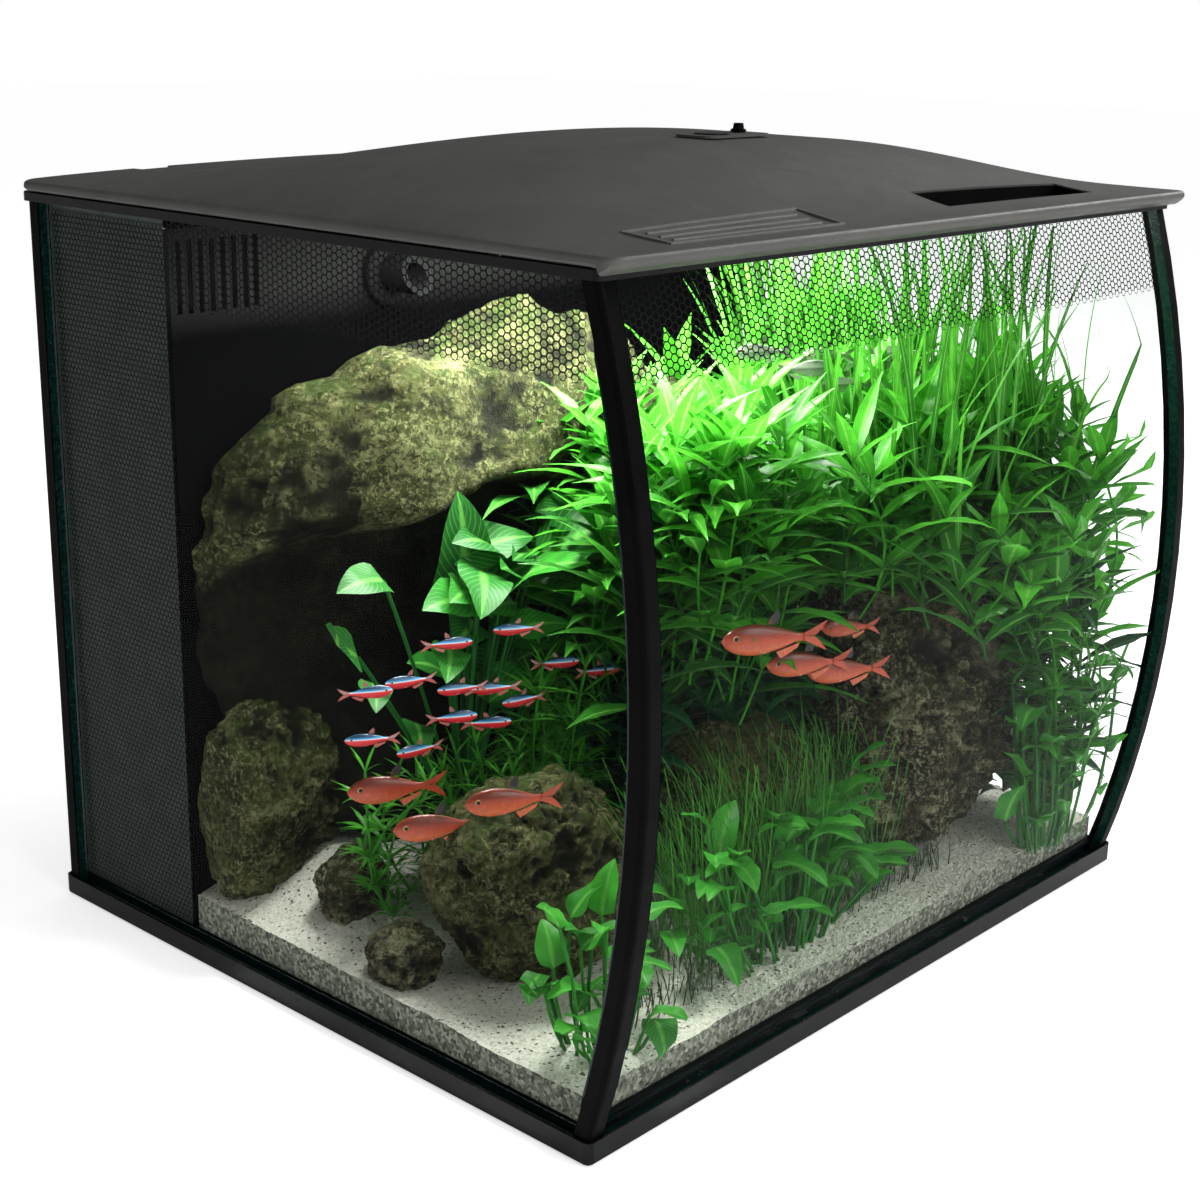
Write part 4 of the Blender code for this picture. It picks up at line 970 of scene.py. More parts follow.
def honeycomb(name, columns, rows, step_u, step_v, flat_top, line, place, mat):
    """Hexagon rims of a regular lattice; place turns sheet coordinates into a point."""
    builder = Builder()
    shared = {}
    if flat_top:
        corner = [(math.cos(math.pi * k / 3) / 1.5, math.sin(math.pi * k / 3) / math.sqrt(3))
                  for k in range(6)]
    else:
        corner = [(math.sin(math.pi * k / 3) / math.sqrt(3), math.cos(math.pi * k / 3) / 1.5)
                  for k in range(6)]

    def point(u, v):
        key = (round(u * 1e6), round(v * 1e6))
        if key not in shared:
            shared[key] = builder.add(place(u, v))
        return shared[key]

    for i in range(columns):
        for j in range(rows):
            u = step_u * (i + (0.5 * (j % 2) if not flat_top else 0.0))
            v = step_v * (j + (0.5 * (i % 2) if flat_top else 0.0))
            outer = [point(u + cu * step_u, v + cv * step_v) for cu, cv in corner]
            inner = [point(u + cu * step_u * (1 - line), v + cv * step_v * (1 - line))
                     for cu, cv in corner]
            builder.strip([outer, inner], wrap=True)
    obj = builder.make(name, [mat], smooth=False)
    return place_piece(obj, "tank", "frame_plastic")


def wall_trim(mat):
    """The strip that closes the partition against the top frame."""
    builder = Builder()
    top_low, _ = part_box("top_frame")
    half = HALF_W - GLASS - 0.0003
    bar_block(builder, (-half, WALL_LOW.y + 0.0003, WALL_HIGH.z + 0.0003),
              (half, WALL_HIGH.y - 0.0003, top_low.z - 0.0003))
    obj = builder.make("partition_trim", [mat], smooth=False)
    place_piece(obj, "tank", "filter_plastic")


def film(name, low, far_y, top_z):
    """A dark film behind the fine print: a field and a narrow strip along its top and rear."""
    builder = Builder()
    x, low_y, low_z = low
    border = 0.0022
    ys = (low_y, far_y - border, far_y)
    zs = (low_z, top_z - border, top_z)
    rows = [[builder.add((x, y, z)) for y in ys] for z in zs]
    builder.strip(rows)
    s = Shade(name)
    tone = s.ramp(s.noise(60.0, 4.0), [(0.3, (0.052, 0.064, 0.059)), (0.7, (0.078, 0.094, 0.088))])
    s.link(tone, s.main.inputs["Base Color"])
    s.set(roughness=0.5, specular_ior_level=0.08)
    obj = builder.make(name, [s.mat], smooth=False)
    place_piece(obj, "tank", "frame_plastic")


PRINT_GAP = 0.0002
BAND_TOP = 0.3435
BAND_ROWS = 12
BAND_STEP_U = 0.0031
BAND_STEP_V = 0.00305
FINE_STEP_U = 0.00285
FINE_STEP_V = 0.00247
FINE_LOW = 0.0145
FILM_LOW, FILM_TOP = 0.0112, 0.3448


def honeycombs():
    """The band on the front and left panes, and the fine print over the filter chamber."""
    ink = plastic("printed_ink", (0.004, 0.004, 0.0045), 0.4, 900.0, 0.05, 0.15, 0.08)
    front_x = HALF_W - 0.0095
    columns = int(2 * front_x / BAND_STEP_U)

    def on_front(u, v):
        z = BAND_TOP - v
        return (-front_x + u, front_face_y(z) + GLASS + PRINT_GAP, z)
    honeycomb("front_honeycomb", columns, BAND_ROWS, BAND_STEP_U, BAND_STEP_V, True, 0.20,
              on_front, ink)
    wall_y = WALL_LOW.y - CLEAR_OF_WALL
    side_columns = int((wall_y - front_face_y(BAND_TOP) - 0.009) / BAND_STEP_U)
    chamber_low, chamber_high = WALL_HIGH.y + 0.0001, REAR_LOW.y - 0.0040
    fine_columns = int((chamber_high - chamber_low) / FINE_STEP_U)
    fine_rows = int((BAND_TOP - FINE_LOW) / FINE_STEP_V)
    for side, sign in (("left", -1), ("right", 1)):
        x = sign * (HALF_W - GLASS - PRINT_GAP)
        if side == "left":
            honeycomb("left_honeycomb", side_columns, BAND_ROWS, BAND_STEP_U, BAND_STEP_V, True,
                      0.20, lambda u, v: (x, wall_y - u, BAND_TOP - v), ink)
        honeycomb("%s_chamber_honeycomb" % side, fine_columns, fine_rows, FINE_STEP_U,
                  FINE_STEP_V, False, 0.26, lambda u, v: (x, chamber_low + u, FINE_LOW + v), ink)
        film_low = (x - sign * 0.0004, chamber_low, FILM_LOW)
        film("%s_chamber_film" % side, film_low, chamber_high, FILM_TOP)


# Glass

ARRIS = 0.0006
PANE_ROWS = 60


def pane(name, outline, low_x, high_x, clear_sides, clear_caps, mats, node):
    """A sheet of glass drawn as a (y, z) outline; its visible faces are clear, the rest ground."""
    builder = Builder()
    centre_y = sum(y for y, _ in outline) / len(outline)
    centre_z = sum(z for _, z in outline) / len(outline)
    shrink = ARRIS if clear_caps else 0.0
    loops = []
    for x, inset in ((low_x, shrink), (low_x + ARRIS, 0.0), (high_x - ARRIS, 0.0),
                     (high_x, shrink)):
        loop = []
        for y, z in outline:
            dy = math.copysign(min(inset, abs(y - centre_y)), y - centre_y)
            dz = math.copysign(min(inset, abs(z - centre_z)), z - centre_z)
            loop.append(builder.add((x, y - dy, z - dz)))
        loops.append(loop)
    builder.strip(loops, wrap=True)
    builder.faces += [tuple(reversed(loops[0])), tuple(loops[-1])]
    obj = builder.make(name, mats)
    count = len(outline)
    for face in obj.data.polygons:
        if face.index >= 3 * count:
            face.material_index = 0 if clear_caps else 1
        else:
            face.material_index = 0 if face.index % count in clear_sides else 1
    obj.data.set_sharp_from_angle(angle=math.radians(20))
    place_piece(obj, "tank", "glass", node)


def glass_panes():
    mats = [glass_material(), glass_edge_material()]
    bottom, top = FRONT_LOW.z, FRONT_HIGH.z
    heights = [mix(bottom, top, i / PANE_ROWS) for i in range(PANE_ROWS + 1)]
    outer = [(front_face_y(z), z) for z in heights]
    inner = [(front_face_y(z) + GLASS, z) for z in reversed(heights)]
    clear = set(range(PANE_ROWS)) | set(range(PANE_ROWS + 1, 2 * PANE_ROWS + 1))
    pane("front_pane", outer + inner, FRONT_LOW.x, FRONT_HIGH.x, clear, False, mats,
         "front_glass")
    side_gap = LEFT_LOW.y - FRONT_LOW.y
    side = [(front_face_y(z) + side_gap, z) for z in heights]
    side += [(LEFT_HIGH.y, top), (LEFT_HIGH.y, bottom)]
    pane("left_pane", side, LEFT_LOW.x, LEFT_HIGH.x, (), True, mats, "left_glass")
    pane("right_pane", side, -LEFT_HIGH.x, -LEFT_LOW.x, (), True, mats, "right_glass")
    rear = [(REAR_LOW.y, bottom), (REAR_LOW.y, top), (REAR_HIGH.y, top), (REAR_HIGH.y, bottom)]
    pane("rear_pane", rear, REAR_LOW.x, REAR_HIGH.x, (0, 2), False, mats, "rear_glass")
    low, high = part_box("bottom_glass")
    floor_pane = [(low.y, low.z), (low.y, high.z), (high.y, high.z), (high.y, low.z)]
    pane("bottom_pane", floor_pane, low.x, high.x, (1, 3), False, mats, "bottom_glass")


# Hood

RIM_Z = 0.354
HOOD_BOTTOM = 0.350
CROWN = 0.0255
SHELL = 0.0025
FRONT_LIP = 0.0075
LIP_BOTTOM = 0.3465
CROWN_START = -0.17025
FRONT_CORNER, REAR_CORNER = 0.006, 0.010
EDGE_ROUND = 0.0016
FEED_X, FEED_Y = (0.030, 0.153), (-0.153, -0.132)
HINGE_X, NOTCH_HALF_W, NOTCH_Y = 0.136, 0.0102, 0.1829
HOOD_PITCH = 0.0032


def crown_z(x, y):
    """The hood's outer surface: a dome that is steep to the sides and long to the rear."""
    side = (1 - min(abs(x) / HOOD_HIGH.x, 1) ** 2) ** 0.8
    front = smoothstep((y - CROWN_START) / 0.120)
    rear = 1 - 0.83 * smoothstep((y - 0.015) / (HOOD_HIGH.y - 0.015))
    return RIM_Z + CROWN * side * front * rear


def edge_distance(x, y):
    """How far a point lies inside the hood's outline."""
    return min(HOOD_HIGH.x - abs(x), y - HOOD_LOW.y, HOOD_HIGH.y - y)


def round_corner(x, y):
    """Move a grid point near a corner of the square plan onto the rounded plan."""
    radius = FRONT_CORNER if y < 0 else REAR_CORNER
    cx = HOOD_HIGH.x - radius
    cy = HOOD_LOW.y + radius if y < 0 else HOOD_HIGH.y - radius
    dx, dy = abs(x) - cx, (cy - y if y < 0 else y - cy)
    if dx <= 0 or dy <= 0:
        return x, y
    square = max(dx, dy)
    scale = square / math.hypot(dx, dy)
    dx, dy = dx * scale, dy * scale
    return math.copysign(cx + dx, x), (cy - dy if y < 0 else cy + dy)


def hood_top(x, y):
    d = edge_distance(x, y)
    z = crown_z(x, y)
    if d < EDGE_ROUND:
        z -= EDGE_ROUND - math.sqrt(EDGE_ROUND ** 2 - (EDGE_ROUND - d) ** 2)
    return z


def hood_under(x, y):
    """The underside: a thick front lip, a rim at the sides and rear, the thin shell between."""
    from_front = y - HOOD_LOW.y
    if from_front <= FRONT_LIP:
        z = mix(HOOD_BOTTOM, LIP_BOTTOM, from_front / FRONT_LIP)
    elif edge_distance(x, y) <= SHELL:
        z = HOOD_BOTTOM
    else:
        z = crown_z(x, y) - SHELL
    return z + max(0.0012 - edge_distance(x, y), 0.0)


def grid_lines(low, high, pitch, marks):
    """Lines from low to high at about a pitch, with the marks among them."""
    stops = sorted({low, high, *(m for m in marks if low < m < high)})
    lines = []
    for a, b in zip(stops, stops[1:]):
        count = max(round((b - a) / pitch), 1)
        lines += [mix(a, b, i / count) for i in range(count)]
    return lines + [high]


def hood_lines():
    """The grid's lines in X and Y, with every edge, corner, opening and notch among them."""
    edges = (0.0, EDGE_ROUND * 0.15, EDGE_ROUND * 0.5, EDGE_ROUND, SHELL, SHELL + 0.0001)
    half = HOOD_HIGH.x
    marks_x = [sign * (half - e) for sign in (-1, 1) for e in edges] + list(FEED_X)
    marks_x += [sign * (half - REAR_CORNER * k / 6) for sign in (-1, 1) for k in range(7)]
    for sign in (-1, 1):
        marks_x += [sign * HINGE_X - NOTCH_HALF_W, sign * HINGE_X + NOTCH_HALF_W]
    marks_y = [HOOD_LOW.y + e for e in edges] + [HOOD_HIGH.y - e for e in edges]
    marks_y += [HOOD_LOW.y + FRONT_LIP, HOOD_LOW.y + FRONT_LIP + 0.0001, *FEED_Y, NOTCH_Y]
    marks_y += [HOOD_HIGH.y - REAR_CORNER * k / 6 for k in range(7)]
    marks_y += [HOOD_LOW.y + FRONT_CORNER * k / 4 for k in range(5)]
    return (grid_lines(-half, half, HOOD_PITCH, marks_x),
            grid_lines(HOOD_LOW.y, HOOD_HIGH.y, HOOD_PITCH, marks_y))


def hood_cover(mat):
    """The hood's shell with its feeding opening and hinge notches."""
    xs, ys = hood_lines()

    def solid(i, j):
        if not (0 <= i < len(xs) - 1 and 0 <= j < len(ys) - 1):
            return False
        x, y = (xs[i] + xs[i + 1]) / 2, (ys[j] + ys[j + 1]) / 2
        feed = FEED_X[0] < x < FEED_X[1] and FEED_Y[0] < y < FEED_Y[1]
        notch = abs(abs(x) - HINGE_X) < NOTCH_HALF_W and y > NOTCH_Y
        return not (feed or notch)

    builder = Builder()
    upper, lower = {}, {}
    for i, x in enumerate(xs):
        for j, y in enumerate(ys):
            if any(solid(i - a, j - b) for a in (0, 1) for b in (0, 1)):
                px, py = round_corner(x, y)
                upper[i, j] = builder.add((px, py, hood_top(x, y)))
                lower[i, j] = builder.add((px, py, hood_under(x, y)))
    for i in range(len(xs) - 1):
        for j in range(len(ys) - 1):
            if not solid(i, j):
                continue
            corners = ((i, j), (i + 1, j), (i + 1, j + 1), (i, j + 1))
            builder.faces.append(tuple(upper[c] for c in corners))
            builder.faces.append(tuple(lower[c] for c in reversed(corners)))
            sides = (((0, 1), (0, -1)), ((1, 2), (1, 0)), ((2, 3), (0, 1)), ((3, 0), (-1, 0)))
            for (a, b), (di, dj) in sides:
                if not solid(i + di, j + dj):
                    first, second = corners[a], corners[b]
                    builder.faces.append((upper[second], upper[first], lower[first],
                                          lower[second]))
    obj = builder.make("hood_cover", [mat])
    obj.data.set_sharp_from_angle(angle=math.radians(40))
    place_piece(obj, "hood", "hood_plastic", "hood_shell")


def bar_block(builder, low, high, top=None):
    """A closed block between two corners; top, if given, is its height over a point."""
    corners = ((low[0], low[1]), (high[0], low[1]), (high[0], high[1]), (low[0], high[1]))
    rows = [[builder.add((x, y, low[2])) for x, y in corners]]
    rows.append([builder.add((x, y, top(x, y) if top else high[2])) for x, y in corners])
    builder.strip(rows, wrap=True)
    builder.faces += [tuple(reversed(rows[0])), tuple(rows[1])]


def hood_details(mat):
    """The feeding well with its flap, and the rubber seal under the hood's rim."""
    builder = Builder()
    (x0, x1), (y0, y1) = FEED_X, FEED_Y
    wall, margin = 0.0010, 0.0002
    floor_z = RIM_Z - 0.0030
    lid_z = floor_z + 0.0012
    bar_block(builder, (x0, y0, floor_z), (x1, y1, lid_z))
    pieces = 24
    for k in range(pieces):
        a, b = mix(x0, x1, k / pieces), mix(x0, x1, (k + 1) / pieces)
        for y in (y0 + margin, y1 - wall - margin):
            bar_block(builder, (a, y, lid_z), (b, y + wall, 0),
                      lambda px, py: crown_z(px, py) - 0.0007)
    for x in (x0 + margin, x1 - wall - margin):
        bar_block(builder, (x, y0, lid_z), (x + wall, y1, 0),
                  lambda px, py: crown_z(px, py) - 0.0007)
    bar_block(builder, (x0 + 0.050, y0 + 0.006, lid_z), (x0 + 0.073, y0 + 0.0075, lid_z + 0.0008))
    obj = builder.make("feeding_well", [mat], smooth=False)
    place_piece(obj, "hood", "hood_plastic")
    seal = Builder()
    x, front, rear = HOOD_HIGH.x - 0.0046, HOOD_LOW.y + 0.0125, NOTCH_Y - 0.002
    low_z, high_z = HOOD_BOTTOM - 0.0005, HOOD_BOTTOM + 0.0032
    for sign in (-1, 1):
        bar_block(seal, (min(sign * x, sign * (x + 0.0018)), front, low_z),
                  (max(sign * x, sign * (x + 0.0018)), rear, high_z))
    bar_block(seal, (-x, front, low_z), (x, front + 0.0018, high_z))
    obj = seal.make("hood_seal", [mat], smooth=False)
    place_piece(obj, "hood", "silicone")


BADGE_X, BADGE_Y = (-0.164, -0.058), (-0.162, -0.137)


def badge(mat):
    """A blank raised panel: a frame round three plain ribs."""
    builder = Builder()
    rise = 0.0007

    def bar(x0, x1, y0, y1, height):
        steps = max(round((x1 - x0) / 0.004), 2)
        rows = []
        for i in range(steps + 1):
            x = mix(x0, x1, i / steps)
            section = ((y0, -0.0002), (y0 + 0.0003, height), (y1 - 0.0003, height), (y1, -0.0002))
            rows.append([builder.add((x, y, crown_z(x, y) + dz)) for y, dz in section])
        builder.strip(rows)
        builder.faces += [tuple(reversed(rows[0])), tuple(rows[-1])]

    (x0, x1), (y0, y1) = BADGE_X, BADGE_Y
    line = 0.0014
    bar(x0, x1, y0, y0 + line, rise)
    bar(x0, x1, y1 - line, y1, rise)
    bar(x0, x0 + line, y0 + line, y1 - line, rise)
    bar(x1 - line, x1, y0 + line, y1 - line, rise)
    for k in range(3):
        y = mix(y0, y1, (k + 1) / 4)
        bar(x0 + 0.008, x1 - 0.008, y - 0.0009, y + 0.0009, rise * 0.7)
    obj = builder.make("hood_badge_panel", [mat], smooth=False)
    place_piece(obj, "hood", "hood_plastic")


# Filter chamber and lamp

def metal(name, color, rough, stretch):
    """Brushed metal: long fine scratches in the gloss and the relief."""
    s = Shade(name)
    scratches = s.noise(160.0, 5.0, 0.7, stretch)
    dull = tuple(c * 0.82 for c in color)
    s.link(s.ramp(scratches, [(0.35, dull), (0.65, color)]), s.main.inputs["Base Color"])
    s.link(s.ramp(scratches, [(0.3, rough - 0.06), (0.7, rough + 0.10)]),
           s.main.inputs["Roughness"])
    s.set(metallic=1.0)
    s.bump(scratches, 0.15, 0.0002)
    return s.mat


def foam_material():
    """Open-cell filter foam: charcoal strands, with painted shade darkening the pores between them.
    """
    s = Shade("filter_foam")
    pores = s.voronoi(620.0)
    strands = s.ramp(s.noise(55.0, 5.0),
                     [(0.3, (0.020, 0.021, 0.023)), (0.7, (0.042, 0.044, 0.048))])
    # Painted shade: the pores are darkened almost to black, for the shade inside the open cells.
    dark = s.ramp(pores, [(0.20, 0.92), (0.46, 0.0)])
    s.link(s.blend(dark, strands, (0.002, 0.002, 0.002)), s.main.inputs["Base Color"])
    s.set(roughness=0.95, specular_ior_level=0.1)
    s.bump(pores, 0.9, 0.0014)
    return s.mat


def media_material(name, dark, light, speckle):
    """Porous filter media: grains of tone and fine pits."""
    s = Shade(name)
    grain = s.noise(speckle, 6.0, 0.7)
    s.link(s.ramp(grain, [(0.35, dark), (0.62, light)]), s.main.inputs["Base Color"])
    s.set(roughness=0.9, specular_ior_level=0.12)
    s.bump(grain, 0.6, 0.0006)
    return s.mat


def block_grid(builder, low, high, radius, pitch, sink, tone=(0.5, 0.5, 0.5)):
    """Rows of points over the six sides of a block with rounded edges; sink lowers each point."""
    counts = [max(round((high[a] - low[a]) / pitch), 2) for a in range(3)]
    edge = Vector((radius, radius, radius))
    core_low, core_high = low + edge, high - edge
    made = {}

    def point(key):
        if key not in made:
            flat = Vector([mix(low[a], high[a], key[a] / counts[a]) for a in range(3)])
            core = Vector([min(max(flat[a], core_low[a]), core_high[a]) for a in range(3)])
            out = (flat - core).normalized()
            made[key] = builder.add(core + out * (radius - sink(flat)), tone)
        return made[key]

    sides = []
    for axis in range(3):
        b, c = (axis + 1) % 3, (axis + 2) % 3
        for end in (0, counts[axis]):
            rows = []
            for j in range(counts[b] + 1):
                row = []
                for k in range(counts[c] + 1):
                    key = [0, 0, 0]
                    key[axis], key[b], key[c] = end, j, k
                    row.append(point(tuple(key)))
                rows.append(row)
            sides.append(rows if end == 0 else rows[::-1])
    return sides


def foam_blocks():
    """Foam filters with rough open skins."""
    mat = foam_material()

    def sink(point):
        pits = 0.0010 * abs(noise.noise(point * 310))
        return 0.0005 + pits + 0.0006 * abs(noise.noise(point * 60))
    for node in ("left_foam_block", "right_foam_block"):
        low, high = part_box(node)
        builder = Builder()
        for rows in block_grid(builder, low, high, 0.0035, 0.0017, sink):
            builder.strip(rows)
        obj = builder.make("%s_foam" % node.split("_")[0], [mat])
        place_piece(obj, "tank", "foam", node)


def tube(builder, centre, axis, radius, length, bore, sides=10):
    """A short pipe, or a pellet when its bore is nought."""
    axis = axis.normalized()
    across = axis.orthogonal().normalized()
    other = axis.cross(across)
    rows = []
    for reach, half in ((bore, -0.5), (radius * 0.86, -0.5), (radius, -0.42), (radius, 0.42),
                        (radius * 0.86, 0.5), (bore, 0.5)):
        row = []
        for k in range(sides):
            angle = 2 * math.pi * k / sides
            offset = (across * math.cos(angle) + other * math.sin(angle)) * max(reach, 1e-5)
            row.append(builder.add(centre + axis * (length * half) + offset))
        rows.append(row)
    if bore:
        rows.append(rows[0])
    builder.strip(rows, wrap=True)


def media_fill(builder, rng, low, high, pitch, radius, length, bore, sides):
    """The outer layers of a pile of rings or pellets, each turned at random."""
    counts = [int((high[a] - low[a]) / pitch) for a in range(3)]
    for i in range(counts[0]):
        for j in range(counts[1]):
            for k in range(counts[2]):
                deep = all(1 <= n < counts[a] - 1 for a, n in enumerate((i, j, k)))
                if deep:
                    continue
                place = [mix(low[a] + pitch / 2, high[a] - pitch / 2, n / (counts[a] - 1))
                         for a, n in enumerate((i, j, k))]
                stray = Vector([rng.uniform(-0.12, 0.12) * pitch for _ in range(3)])
                centre = Vector(place) + stray
                axis = Vector([rng.uniform(-1, 1) for _ in range(3)])
                if axis.length < 0.1:
                    axis = Vector((0, 0, 1))
                tube(builder, centre, axis, radius, length, bore, sides)


BAG_NECK = Vector((0, 0, 0.012))


def media_pile(node, media, slot, pitch, radius, length, bore, sides, seed):
    """The media in a bag, round a plain core that closes the view through them."""
    low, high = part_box(node)
    margin = Vector((0.0035, 0.0035, 0.0035))
    inner = Vector((0.012, 0.012, 0.012))
    fill = Builder()
    media_fill(fill, random.Random(seed), low + margin, high - margin - BAG_NECK, pitch, radius,
               length, bore, sides)
    for rows in block_grid(fill, low + inner, high - inner - BAG_NECK, 0.008, 0.008, lambda p: 0.0):
        fill.strip(rows)
    obj = fill.make("%s_pieces" % node.replace("_bag", ""), [media], smooth=False)
    place_piece(obj, "tank", slot)


def net_meshes(builder, rows):
    """Turn every quad of a grid into a rim with an open middle."""
    for first, second in zip(rows, rows[1:]):
        for i in range(len(first) - 1):
            outer = [first[i], first[i + 1], second[i + 1], second[i]]
            points = [Vector(builder.points[n]) for n in outer]
            middle = sum(points, Vector()) / 4
            hole = [builder.add(p.lerp(middle, 0.30)) for p in points]
            builder.strip([outer, hole], wrap=True)


def net_tie(builder, centre):
    """The gathered neck of a bag with three turns of string round it."""
    rows = []
    for level, reach in ((-0.002, 0.022), (0.002, 0.011), (0.005, 0.0042), (0.007, 0.0046),
                         (0.0115, 0.0100)):
        row = []
        for k in range(36):
            angle = math.pi * k / 18
            spread = reach * (1 + 0.16 * math.sin(9 * angle))
            offset = Vector((spread * math.cos(angle), spread * math.sin(angle), level))
            row.append(builder.add(centre + offset))
        rows.append(row)
    builder.strip(rows, wrap=True)
    for k in range(3):
        tube(builder, centre + Vector((0, 0, 0.0048 + 0.0010 * k)), Vector((0, 0, 1)),
             0.0052, 0.0011, 0.0040, 20)


def net_bag(node, net, slot):
    """A bag of netting that sags a little, gathered and tied at its top."""
    low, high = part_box(node)
    crown = high - BAG_NECK
    bag = Builder()

    def sag(point):
        side = math.sin(math.pi * (point.z - low.z) / (crown.z - low.z))
        return 0.0016 * (1 - side) + 0.0008 * abs(noise.noise(point * 90))
    for rows in block_grid(bag, low, crown, 0.010, 0.0042, sag):
        net_meshes(bag, rows)
    net_tie(bag, Vector(((low.x + high.x) / 2, (low.y + high.y) / 2, crown.z)))
    obj = bag.make("%s_net" % node.replace("_bag", ""), [net])
    place_piece(obj, "tank", slot, node)


def media_bag(node, media, net, slot, *grain):
    """A net bag of filter media; grain is the pitch, radius, length, bore, sides and seed."""
    media_pile(node, media, slot, *grain)
    net_bag(node, net, slot)


def slotted_panel(builder, low, high, thin, counts, width=0.0022):
    """A flat panel of crossing bars; counts says how many step along each of its two axes."""
    axes = [a for a in range(3) if a != thin]
    for order, (step, count) in enumerate(zip(axes, counts)):
        for k in range(count):
            a, b = list(low), list(high)
            a[step] = mix(low[step], high[step] - width, k / (count - 1))
            b[step] = a[step] + width
            a[thin] += 0.0004 * order
            b[thin] -= 0.0004 * order
            bar_block(builder, a, b)


PLATE, WALL, RIM, OVERLAP = 0.0027, 0.0022, 0.009, 0.0004


def cradle_grille(side, mat):
    """The open cradle that a foam block stands in, with a lip to lift it by."""
    node = "%s_foam_cradle" % side
    low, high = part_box(node)
    builder = Builder()
    slotted_panel(builder, (low.x, high.y - PLATE, low.z), high, 1, (8, 19))
    slotted_panel(builder, low, (high.x, high.y, low.z + PLATE), 2, (8, 9))
    bar_block(builder, (low.x, high.y - PLATE - 0.0003, high.z - 0.014), high)
    middle = (low.x + high.x) / 2
    bar_block(builder, (middle - 0.014, high.y - 0.012, high.z - 0.0055),
              (middle + 0.014, high.y - PLATE, high.z - 0.0030))
    obj = builder.make("%s_cradle_grille" % side, [mat], smooth=False)
    place_piece(obj, "tank", "filter_plastic", node)


def basket_grille(mat):
    """The open basket round the media bags."""
    low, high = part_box("media_basket")
    builder = Builder()
    for y in (low.y, high.y - WALL):
        slotted_panel(builder, (low.x, y, low.z), (high.x, y + WALL, high.z), 1, (14, 15))
    for x in (low.x, high.x - WALL):
        slotted_panel(builder, (x, low.y, low.z), (x + WALL, high.y, high.z), 0, (11, 15))
    slotted_panel(builder, low, (high.x, high.y, low.z + WALL), 2, (14, 11))
    thick = WALL + OVERLAP
    for y in (low.y, high.y - thick):
        bar_block(builder, (low.x, y, high.z - RIM), (high.x, y + thick, high.z))
    for x in (low.x, high.x - thick):
        bar_block(builder, (x, low.y, high.z - RIM), (x + thick, high.y, high.z))
    obj = builder.make("media_basket_grille", [mat], smooth=False)
    place_piece(obj, "tank", "filter_plastic", "media_basket")


def pump_ribs(mat):
    """Ribs across the back of the pump."""
    low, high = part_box("pump_body")
    builder = Builder()
    for k in range(7):
        z = mix(low.z + 0.008, high.z - 0.010, k / 6)
        bar_block(builder, (low.x + 0.005, high.y - 0.0004, z),
                  (high.x - 0.005, high.y + 0.0008, z + 0.0022))
    place_piece(builder.make("pump_ribs", [mat], smooth=False), "tank", "filter_plastic")


def slotted_parts(mat):
    for side in ("left", "right"):
        cradle_grille(side, mat)
    basket_grille(mat)
    pump_ribs(mat)


def hood_ribs(mat):
    """Stiffening ribs moulded along the underside of the hood."""
    builder = Builder()
    front, rear, count = -0.118, 0.140, 40
    for x in (-0.160, -0.075, 0.075, 0.160):
        rows = []
        for k in range(count + 1):
            y = mix(front, rear, k / count)
            top = crown_z(x, y) - SHELL + 0.0002
            drop = 0.0030 * min(1.0, 6 * k / count, 6 * (count - k) / count) + 0.0004
            section = ((-0.0008, top), (-0.0006, top - drop), (0.0006, top - drop), (0.0008, top))
            rows.append([builder.add((x + dx, y, z)) for dx, z in section])
        builder.strip(rows)
    place_piece(builder.make("hood_ribs", [mat], smooth=False), "hood", "hood_plastic")


def chamber_floor(mat):
    """A dark sheet under the filter chamber and the sealant along the foot of the panes."""
    builder = Builder()
    low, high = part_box("bottom_glass")
    bar_block(builder, (low.x + 0.001, WALL_HIGH.y + 0.0005, high.z + 0.00005),
              (high.x - 0.001, REAR_LOW.y - 0.0005, high.z + 0.0002))
    edge = HALF_W - GLASS
    for sign in (-1, 1):
        ends = sorted((sign * (edge - 0.0002), sign * (edge - 0.0007)))
        bar_block(builder, (ends[0], SAND_LOW.y, high.z + 0.0001),
                  (ends[1], REAR_LOW.y - 0.0005, high.z + 0.0016))
    glass_y = front_face_y(high.z) + GLASS
    bar_block(builder, (-edge + 0.0005, glass_y + 0.0006, high.z + 0.0001),
              (edge - 0.0005, SAND_LOW.y - 0.0002, high.z + 0.0016))
    place_piece(builder.make("foot_sealant", [mat], smooth=False), "tank", "silicone")


def hose_clamps(mat):
    """Narrow steel bands with a screw block at the ends of the hoses."""
    builder = Builder()
    riser_low, riser_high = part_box("riser_hose")
    middle = (riser_low + riser_high) / 2
    radius = (riser_high.x - riser_low.x) / 2
    tee_low, tee_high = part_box("outlet_tee")
    level = (tee_low.z + tee_high.z) / 2
    spots = [(Vector((middle.x, middle.y, z)), Vector((0, 0, 1)))
             for z in (riser_low.z + 0.006, riser_high.z - 0.006)]
    for side in ("left", "right"):
        low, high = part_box("%s_nozzle_socket" % side)
        spots.append((Vector(((low.x + high.x) / 2, high.y + 0.0058, level)), Vector((0, 1, 0))))
    for centre, axis in spots:
        tube(builder, centre, axis, radius + 0.0009, 0.0050, radius + 0.0002, 32)
        across = axis.orthogonal().normalized()
        tube(builder, centre + across * (radius + 0.0020), axis.cross(across), 0.0018, 0.0070,
             0.0, 8)
    place_piece(builder.make("hose_clamps", [mat], smooth=False), "tank", "steel_pin")


